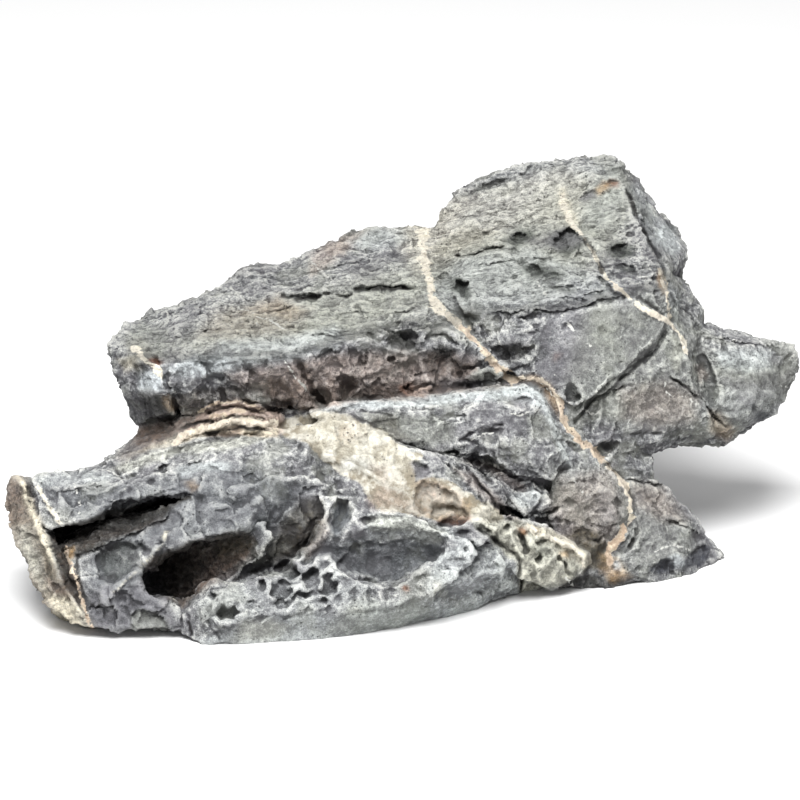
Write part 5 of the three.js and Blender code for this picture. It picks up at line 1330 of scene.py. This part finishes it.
def build_form():
    """The large forms: the solid's edges wander, the outline follows, and the deep hollows are cut."""
    form = voxel_copy(merged_copy(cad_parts["stone"]), "form", FORM_VOXEL)
    skin = Skin(form)
    drift = np.stack([fractal(skin.places, 20.0, 3, 300 + 7 * k) for k in range(3)], 1)
    skin.places += drift * 0.9
    skin.push(fractal(skin.places, 30.0, 2, 5) * 1.0)
    sight = Sight(skin, 0.0)
    skin.shift(warped(sight))
    sight = Sight(skin)
    toward = sight_direction(0, 0, 1)
    skin.shift(np.outer(-hollows(sight, VOID_HOLLOWS), toward))
    sight.near -= hollows(sight, VOID_HOLLOWS)
    skin.shift(np.outer(fills(sight, FILLS), toward))
    skin.shift(np.outer(hollows(sight, MOUNDS) - hollows(sight, DEEP_HOLLOWS), toward))
    return form


def warped(sight):
    """Moves in the face's plane: each bends the stone by its amount, over a Gaussian of its reach."""
    move = np.zeros((len(sight.across), 2))
    for across, up, right, lift, reach in WARPS:
        d2 = (sight.across - across) ** 2 + (sight.up - up) ** 2
        move += np.outer(np.exp(-d2 / (2 * reach**2)), (right, lift))
    return move @ np.array([sight_direction(1, 0, 0), sight_direction(0, 1, 0)])


def weather(skin):
    """What noise gives: layers and flakes, scoops, chips, pits and grain, each where it belongs."""
    sight = Sight(skin)
    zone = {name: sight.region(outline, 4.0) for name, outline in ZONES.items()}
    p = skin.places + np.stack([noise(skin.places, 8.0, 40 + k) for k in range(3)], 1) * 1.2

    # How far each kind of weathering has gone, from 0 to 1.
    layered = np.maximum(zone["layered"], 1 - sight.front)
    smooth = np.maximum.reduce([zone["smooth"], zone["belly"], zone["bowl"]])
    rough = np.maximum.reduce([zone["ribs"], zone["cavity"], zone["ledge"], 0.25 * zone["cap"]])
    scooped, dished, lobe = zone["scooped"], zone["dished"] * (1 - rough), zone["lobe"] * (1 - smooth)
    crystals, tip = zone["crystals"], zone["tip"]
    plain = 1 - np.maximum.reduce([layered, scooped, dished, lobe, crystals, tip, smooth])

    # The patterns, each with its size in mm and its seed, on places that wander a little.
    p += np.stack([noise(skin.places, 2.6, 50 + k) for k in range(3)], 1) * 0.4
    bent = p + np.stack([noise(skin.places, 22.0, 45 + k) for k in range(3)], 1) * 5.0
    bedded, strips = beds(bent, 0.9), beds(bent, 2.0)
    flakes = terraces(fractal(strips, 26.0, 4, 60, 0.6) * 2.0, 0.8, 0.2)
    streaks = ridged(strips, 6.0, 3, 65) - 0.62
    small = fractal(p, 2.6, 3, 70, 0.7)
    swell = fractal(p, 13.0, 2, 80)
    chip_small = chips(p, 4.6, 95)
    chip_large = chips(p, 12.0, 97)
    dish_large = scallops(p, 19.0, 3)
    dish_middle = scallops(p, 13.0, 9, 0.8)
    dish_small = scallops(p, 6.0, 15, 0.8)
    dish_bedded = scallops(strips, 11.0, 29, 0.8)
    near_pit = cells(bedded, 9.0, 21)
    chance = noise(p, 9.0, 33)
    pits = -smoothstep(0.26, 0.18, near_pit) * smoothstep(0.1, 0.3, chance)
    away = 1 - sight.front

    # Forms wider than a few millimetres, as heights in millimetres for each zone.
    heights = swell * (0.5 - 0.2 * smooth + 0.5 * layered)
    heights += dish_large * (
        4.0 * dished * (1 - lobe) + 2.0 * scooped + 3.0 * plain + 1.4 * smooth + 1.6 * layered
    )
    heights += (3.0 * dish_large + 1.5 * dish_middle + 1.0 * chip_large) * away
    heights += dish_middle * (3.0 * dished + 3.0 * scooped + 2.0 * plain + 1.2 * lobe + 0.6 * smooth)
    heights += dish_small * (
        1.8 * dished + 0.9 * scooped + 0.6 * plain + 0.8 * lobe + 1.6 * tip + 1.0 * crystals
    )
    heights += dish_bedded * (1.3 * layered + 0.8 * plain)
    heights += chip_large * (
        1.6 * dished * (1 - lobe) + 1.6 * scooped + 0.6 * layered + 0.8 * plain + 0.8 * crystals
    )
    skin.heave(heights)

    # The fine skin over them.
    heights = small * (
        0.08 + 0.05 * layered + 0.06 * plain + 0.1 * tip - 0.04 * smooth + 0.1 * lobe + 0.1 * scooped
        + 0.24 * rough + 0.12 * crystals
    )
    heights += flakes * (0.55 * layered + 0.15 * plain)
    heights += streaks * (0.4 * layered + 0.3 * plain + 0.5 * scooped + 0.1 * lobe + 0.6 * rough)
    heights += pits * (1.2 * layered + 0.5 * plain + 0.3 * smooth)
    heights += chip_small * (0.3 * plain + 0.4 * layered + 0.2 * crystals + 0.6 * scooped + 0.35 * rough)
    skin.push(heights)

    # How coarse the grain is in each zone.
    coarse = (
        0.6 + 0.3 * layered + 0.25 * lobe + 0.2 * tip + 0.1 * plain - 0.1 * smooth + 0.2 * scooped
        + 0.5 * rough
    )
    skin.store("layered", layered)
    skin.store("coarse", np.clip(coarse, 0, 1))


def carve(skin):
    """The smaller features that have their own places."""
    sight = Sight(skin, 0.7)
    height = -hollows(sight, SHALLOW_HOLLOWS) + steps(sight, STEPS)
    height += lines(sight, RIDGES) - lines(sight, GROOVES, 2.0)
    height += lines(sight, [(max(a, b), proud, points) for a, b, _, proud, points in VEINS], 3.0)
    skin.shift(np.outer(height, sight_direction(0, 0, 1)))


def describe(skin):
    """Stores on the vertices what the finish needs to know of its place and form."""
    sight = Sight(skin, 0.7)

    # How far each place stands out from its surroundings, at three widths, in mm.
    soft = skin.blurred(skin.places, 2)
    softer = skin.blurred(soft, 12)
    softest = skin.blurred(softer, 60)
    fine = ((skin.places - soft) * skin.normals).sum(1)
    middle = ((soft - softer) * skin.normals).sum(1)
    broad = ((softer - softest) * skin.normals).sum(1)
    # Paler on worn crests and darker in creases and troughs: wear, and painted shade.
    skin.store("crest_wear_and_painted_shade", np.clip(0.5 + 1.35 * fine + 0.4 * middle, 0, 1))
    # Darker in broad hollows and paler on broad swells: painted shade.
    skin.store("hill_painted_shade", np.clip(0.5 + 0.3 * broad, 0, 1))
    # Paler on faces that look up: dust there, and painted top light.
    skin.store("skyward_dust_and_painted_light", skin.blurred(skin.normals[:, 2], 2) * 0.5 + 0.5)

    # Stains and painted light and shade, each laid over those before it.
    paint = np.zeros((len(skin.places), 4), np.float32)
    for name, strength, soft_edge, outline in STAINS_AND_PAINTED_LIGHT:
        cover = sight.region(outline, soft_edge) * strength
        paint *= 1 - cover[:, None]
        paint += np.outer(cover, (*linear(PALETTE[name])[:3], 1.0))
    paint[:, :3] /= np.maximum(paint[:, 3:], 1e-4)
    skin.store_colour("stain_and_painted_light", paint)
    skin.store("crystals", sight.region(ZONES["crystals"], 3.0))

    # Veins, threads, and the painted shade of the cracks: how fully each place is covered, 1 and over in the
    # middle of a line.
    n = len(skin.places)
    vein, rust, thread, crack_painted_shade = (np.zeros(n, np.float32) for _ in range(4))
    waver = noise(skin.places, 4.0, 55) + 0.5 * noise(skin.places, 1.6, 56)
    for start, end, rusty, _, points in VEINS:
        chosen, distance, _, share = sight.along(points, 5.0)
        half = (start + (end - start) * share) * (0.75 + 0.8 * waver[chosen])
        cover = np.clip(1.5 - distance / np.maximum(half, 0.3), 0, 1.5) * sight.front[chosen]
        better = cover > vein[chosen]
        vein[chosen[better]] = cover[better]
        rust[chosen[better]] = rusty
    back = 1 - skin.front_share()
    for half, slant, start in BACK_VEINS:
        across, _, up = skin.places.T
        gap = np.abs(across - start - slant * up + 6 * noise(skin.places, 26.0, 57) + 1.2 * waver) / half
        vein = np.maximum(vein, np.clip(1.5 - gap, 0, 1.5) * back)
    for points in THREADS:
        chosen, distance, _, _ = sight.along(points, 2.0)
        thread[chosen] = np.maximum(thread[chosen], np.clip(1.2 - distance / 0.6, 0, 1) * sight.front[chosen])
    # Deeper grooves are darker: painted shade in the cracks.
    for half_width, depth, points in GROOVES:
        chosen, distance, _, share = sight.along(points, 3.0)
        cover = np.exp(-((distance / half_width) ** 2)) * min(1, depth / 2) * uneven(sight, chosen, share)
        crack_painted_shade[chosen] = np.maximum(crack_painted_shade[chosen], cover)
    for name, values in (("vein", vein), ("rust", rust), ("thread", thread), ("crack_painted_shade", crack_painted_shade)):
        skin.store(name, values)


def thinned(mesh):
    """The skin with fewer triangles: first away from the show face, then wherever it is flattest."""
    stone = bpy.data.objects.new("seiryu_stone", mesh)
    bpy.context.scene.collection.objects.link(stone)
    group = stone.vertex_groups.new(name="away")
    weights = 1 - Skin(mesh).front_share()
    for level in np.linspace(0.25, 1.0, 4):
        chosen = np.nonzero(np.round(weights * 4) == round(level * 4))[0]
        group.add([int(i) for i in chosen], float(level), "REPLACE")
    thin = stone.modifiers.new("thin", "DECIMATE")
    thin.vertex_group_factor = AWAY_PULL
    for share, vertex_group in ((AWAY_SHARE, "away"), (1.0, "")):
        faces = sum(len(p.vertices) - 2 for p in stone.data.polygons)
        thin.ratio = min(1, share if vertex_group else MOST_TRIANGLES / faces)
        thin.vertex_group = vertex_group
        final = bpy.data.meshes.new_from_object(stone.evaluated_get(bpy.context.evaluated_depsgraph_get()))
        stone.data = final
    stone.modifiers.clear()
    final.polygons.foreach_set("use_smooth", np.ones(len(final.polygons), bool))
    return stone


def build_stone():
    """The stone: its form, then an even skin that is weathered, carved, described and thinned."""
    mesh = voxel_copy(build_form(), "skin", SKIN_VOXEL)
    skin = Skin(mesh)
    skin.sharpen(5, 0.9)
    weather(skin)
    carve(skin)
    skin.sharpen(3, 0.7)
    describe(skin)
    return thinned(mesh)


# ---------------------------------------------------------------- finish


def add(tree, kind, settings=None, inputs=None):
    """Adds a node; an input, named or numbered, takes a value or a link from an output socket."""
    node = tree.nodes.new(kind)
    for name, value in (settings or {}).items():
        setattr(node, name, value)
    for name, value in (inputs or {}).items():
        socket = node.inputs[name]
        if isinstance(value, bpy.types.NodeSocket):
            tree.links.new(value, socket)
        else:
            socket.default_value = value
    return node


def limestone():
    """Seiryu limestone: fine-grained, dull grey, paler on worn crests, with calcite and iron stains. Shade in
    its hollows, creases and pores, and light on faces that look up, are painted into its colour.
    """
    material = bpy.data.materials.new("weathered limestone")
    material.use_nodes = True
    tree = material.node_tree
    shader = tree.nodes["Principled BSDF"]
    place = add(tree, "ShaderNodeTexCoord").outputs["Object"]

    def attribute(name):
        """A number stored on the vertices."""
        return add(tree, "ShaderNodeAttribute", {"attribute_name": name}).outputs["Fac"]

    def grain(size_mm, detail=3.0, roughness=0.6, place=place):
        """Cloudy noise whose largest clouds have that size."""
        settings = {"Vector": place, "Scale": 1 / (size_mm * MM), "Detail": detail, "Roughness": roughness}
        return add(tree, "ShaderNodeTexNoise", inputs=settings).outputs["Fac"]

    def sums(operation, a, b=0.0, c=0.0):
        """One step of arithmetic."""
        return add(tree, "ShaderNodeMath", {"operation": operation}, {0: a, 1: b, 2: c}).outputs[0]

    def ramp(value, low, high):
        """0 up to `low` and 1 from `high` on, smooth between."""
        settings = {"Value": value, "From Min": low, "From Max": high}
        return add(tree, "ShaderNodeMapRange", {"interpolation_type": "SMOOTHSTEP"}, settings).outputs[0]

    def mix(amount, below, above, blend="MIX"):
        """The colour below with the one above laid over it by that amount."""
        settings = {"data_type": "RGBA", "blend_type": blend}
        return add(tree, "ShaderNodeMix", settings, {0: amount, 6: below, 7: above}).outputs[2]

    def weighted(base, parts):
        """base + the sum of weight * (value - 0.5)."""
        total = base - sum(weight for _, weight in parts) / 2
        for value, weight in parts:
            total = sums("MULTIPLY_ADD", value, weight, total)
        return total

    # Where the stone is layered its grain is squeezed across the beds.
    across_beds = tuple(sight_direction(*BEDS))
    along = add(tree, "ShaderNodeVectorMath", {"operation": "DOT_PRODUCT"}, {0: place, 1: across_beds})
    squeeze = sums("MULTIPLY", along.outputs["Value"], attribute("layered"))
    inputs = {0: across_beds, "Scale": sums("MULTIPLY", squeeze, 1.6)}
    squeezed = add(tree, "ShaderNodeVectorMath", {"operation": "SCALE"}, inputs).outputs[0]
    streaky = add(tree, "ShaderNodeVectorMath", {"operation": "ADD"}, {0: place, 1: squeezed}).outputs[0]

    # Grain of the real sizes in mm, from half-millimetre grit, drawn coarser than it is, to shades of
    # grey a few centimetres across.
    coarse = attribute("coarse")
    speckle, fleck = grain(0.5, 1.0, 0.6), grain(1.3, 4.0, 0.75, streaky)
    mottle, patches, hues = grain(3.6, 5.0, 0.7, streaky), grain(9.0, 4.0, 0.6), grain(18.0, 3.0)
    settings = {"Vector": streaky, "Scale": 1 / (2.6 * MM), "Detail": 4.0, "Roughness": 0.6}
    ridges = add(tree, "ShaderNodeTexNoise", {"noise_type": "RIDGED_MULTIFRACTAL"}, settings).outputs["Fac"]
    inputs = {"Vector": place, "Scale": 1 / (1.9 * MM)}
    pores = add(tree, "ShaderNodeTexVoronoi", inputs=inputs).outputs["Distance"]
    pore = sums("MULTIPLY", ramp(pores, 0.26, 0.08), ramp(patches, 0.5, 0.62))
    crest_wear_and_painted_shade = attribute("crest_wear_and_painted_shade")
    grit = weighted(0.0, [(speckle, 1.0)])

    # Grey, from painted shade in recesses to worn, pale crests, and paler on faces that look up: dust there,
    # with painted top light.
    tone = weighted(
        0.48,
        [
            (crest_wear_and_painted_shade, 0.75), (attribute("hill_painted_shade"), 0.4), (attribute("skyward_dust_and_painted_light"), 0.6), (speckle, 0.45),
            (fleck, 1.1), (mottle, 1.1), (patches, 0.7), (ridges, 0.5),
        ],
    )
    tone = sums("MULTIPLY_ADD", sums("MULTIPLY", coarse, grit), 0.7, tone)
    tone = sums("MULTIPLY_ADD", attribute("layered"), 0.09, tone)
    grey = add(tree, "ShaderNodeValToRGB", inputs={"Fac": tone}).color_ramp
    shades = ((0.0, "#48484a"), (0.25, "#68696b"), (0.48, "#8a8b8c"), (0.7, "#b0b1b0"), (1.0, "#e2e2dd"))
    for position, shade in shades[1:-1]:
        grey.elements.new(position).color = linear(shade)
    grey.elements[0].color = linear(shades[0][1])
    grey.elements[-1].color = linear(shades[-1][1])
    colour = tree.nodes["Color Ramp"].outputs[0]
    colour = mix(sums("MULTIPLY", ramp(hues, 0.5, 0.62), 0.4), colour, linear("#93958b"))
    colour = mix(sums("MULTIPLY", ramp(hues, 0.5, 0.4), 0.35), colour, linear("#7a787d"))

    # Stains and the painted shade and light keep the stone's light and dark.
    stain_and_painted_light = add(tree, "ShaderNodeAttribute", {"attribute_name": "stain_and_painted_light"})
    shade = add(tree, "ShaderNodeMapRange", inputs={"Value": tone, "To Min": 0.45, "To Max": 1.4}).outputs[0]
    painted_and_stained = mix(1.0, stain_and_painted_light.outputs["Color"], shade, "MULTIPLY")
    frayed = sums("MULTIPLY", stain_and_painted_light.outputs["Alpha"], weighted(1.0, [(mottle, 1.4), (fleck, 0.8)]))
    colour = mix(frayed, colour, painted_and_stained)

    # Calcite: a sugary crust with rounded, frayed borders.
    ragged = weighted(0.0, [(mottle, 1.4), (patches, 0.9), (fleck, 0.4)])
    crust = ramp(sums("ADD", attribute("crystals"), ragged), 0.25, 0.8)
    milky = mix(ramp(grain(7.0, 4.0), 0.42, 0.58), linear("#968e7d"), linear("#d6d2c6"))
    milky = mix(sums("MULTIPLY", frayed, 0.65), milky, painted_and_stained)
    milky = mix(0.35, milky, mix(1.0, milky, shade, "MULTIPLY"))
    colour = mix(crust, colour, milky)

    # Veins, threads, pores with painted shade in them, and painted shade in the cracks.
    edge = weighted(0.0, [(mottle, 1.3), (fleck, 1.0)])
    vein = mix(attribute("rust"), linear("#f0eadb"), linear("#ab8767"))
    vein = mix(sums("MULTIPLY", ramp(mottle, 0.5, 0.66), 0.6), vein, linear("#e9e0c6"))
    vein = mix(sums("MULTIPLY", ramp(mottle, 0.46, 0.34), 0.45), vein, linear("#86705a"))
    vein = mix(0.35, vein, mix(1.0, vein, shade, "MULTIPLY"))
    colour = mix(ramp(sums("ADD", attribute("vein"), edge), 0.38, 0.72), colour, vein)
    thin = sums("MULTIPLY", ramp(sums("ADD", attribute("thread"), edge), 0.5, 0.75), 0.8)
    colour = mix(thin, colour, linear("#dfdfd9"))
    # Dark pores: specks, and painted shade in the pits that the bump sinks.
    colour = mix(sums("MULTIPLY", pore, 0.7), colour, linear("#3c3c40"))
    # Darker along the grooves, the more so the deeper: painted shade in the cracks.
    colour = mix(sums("MULTIPLY", ramp(attribute("crack_painted_shade"), 0.2, 0.9), 0.85), colour, linear("#2f2d2c"))

    tree.links.new(colour, shader.inputs["Base Color"])
    shader.inputs["Roughness"].default_value = 0.78
    shader.inputs["Specular IOR Level"].default_value = 0.3
    relief = weighted(0.5, [(fleck, 1.2), (speckle, 0.3), (pore, -0.8), (mottle, 0.8), (ridges, 1.0)])
    relief = sums("MULTIPLY", relief, coarse)
    bump = add(tree, "ShaderNodeBump", inputs={"Strength": 1.0, "Distance": 0.0016, "Height": relief})
    tree.links.new(bump.outputs[0], shader.inputs["Normal"])
    return material


add_camera()
add_studio()
stone = build_stone()
stone.data.materials.clear()
stone.data.materials.append(limestone())
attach(stone, "root")
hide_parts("stone")
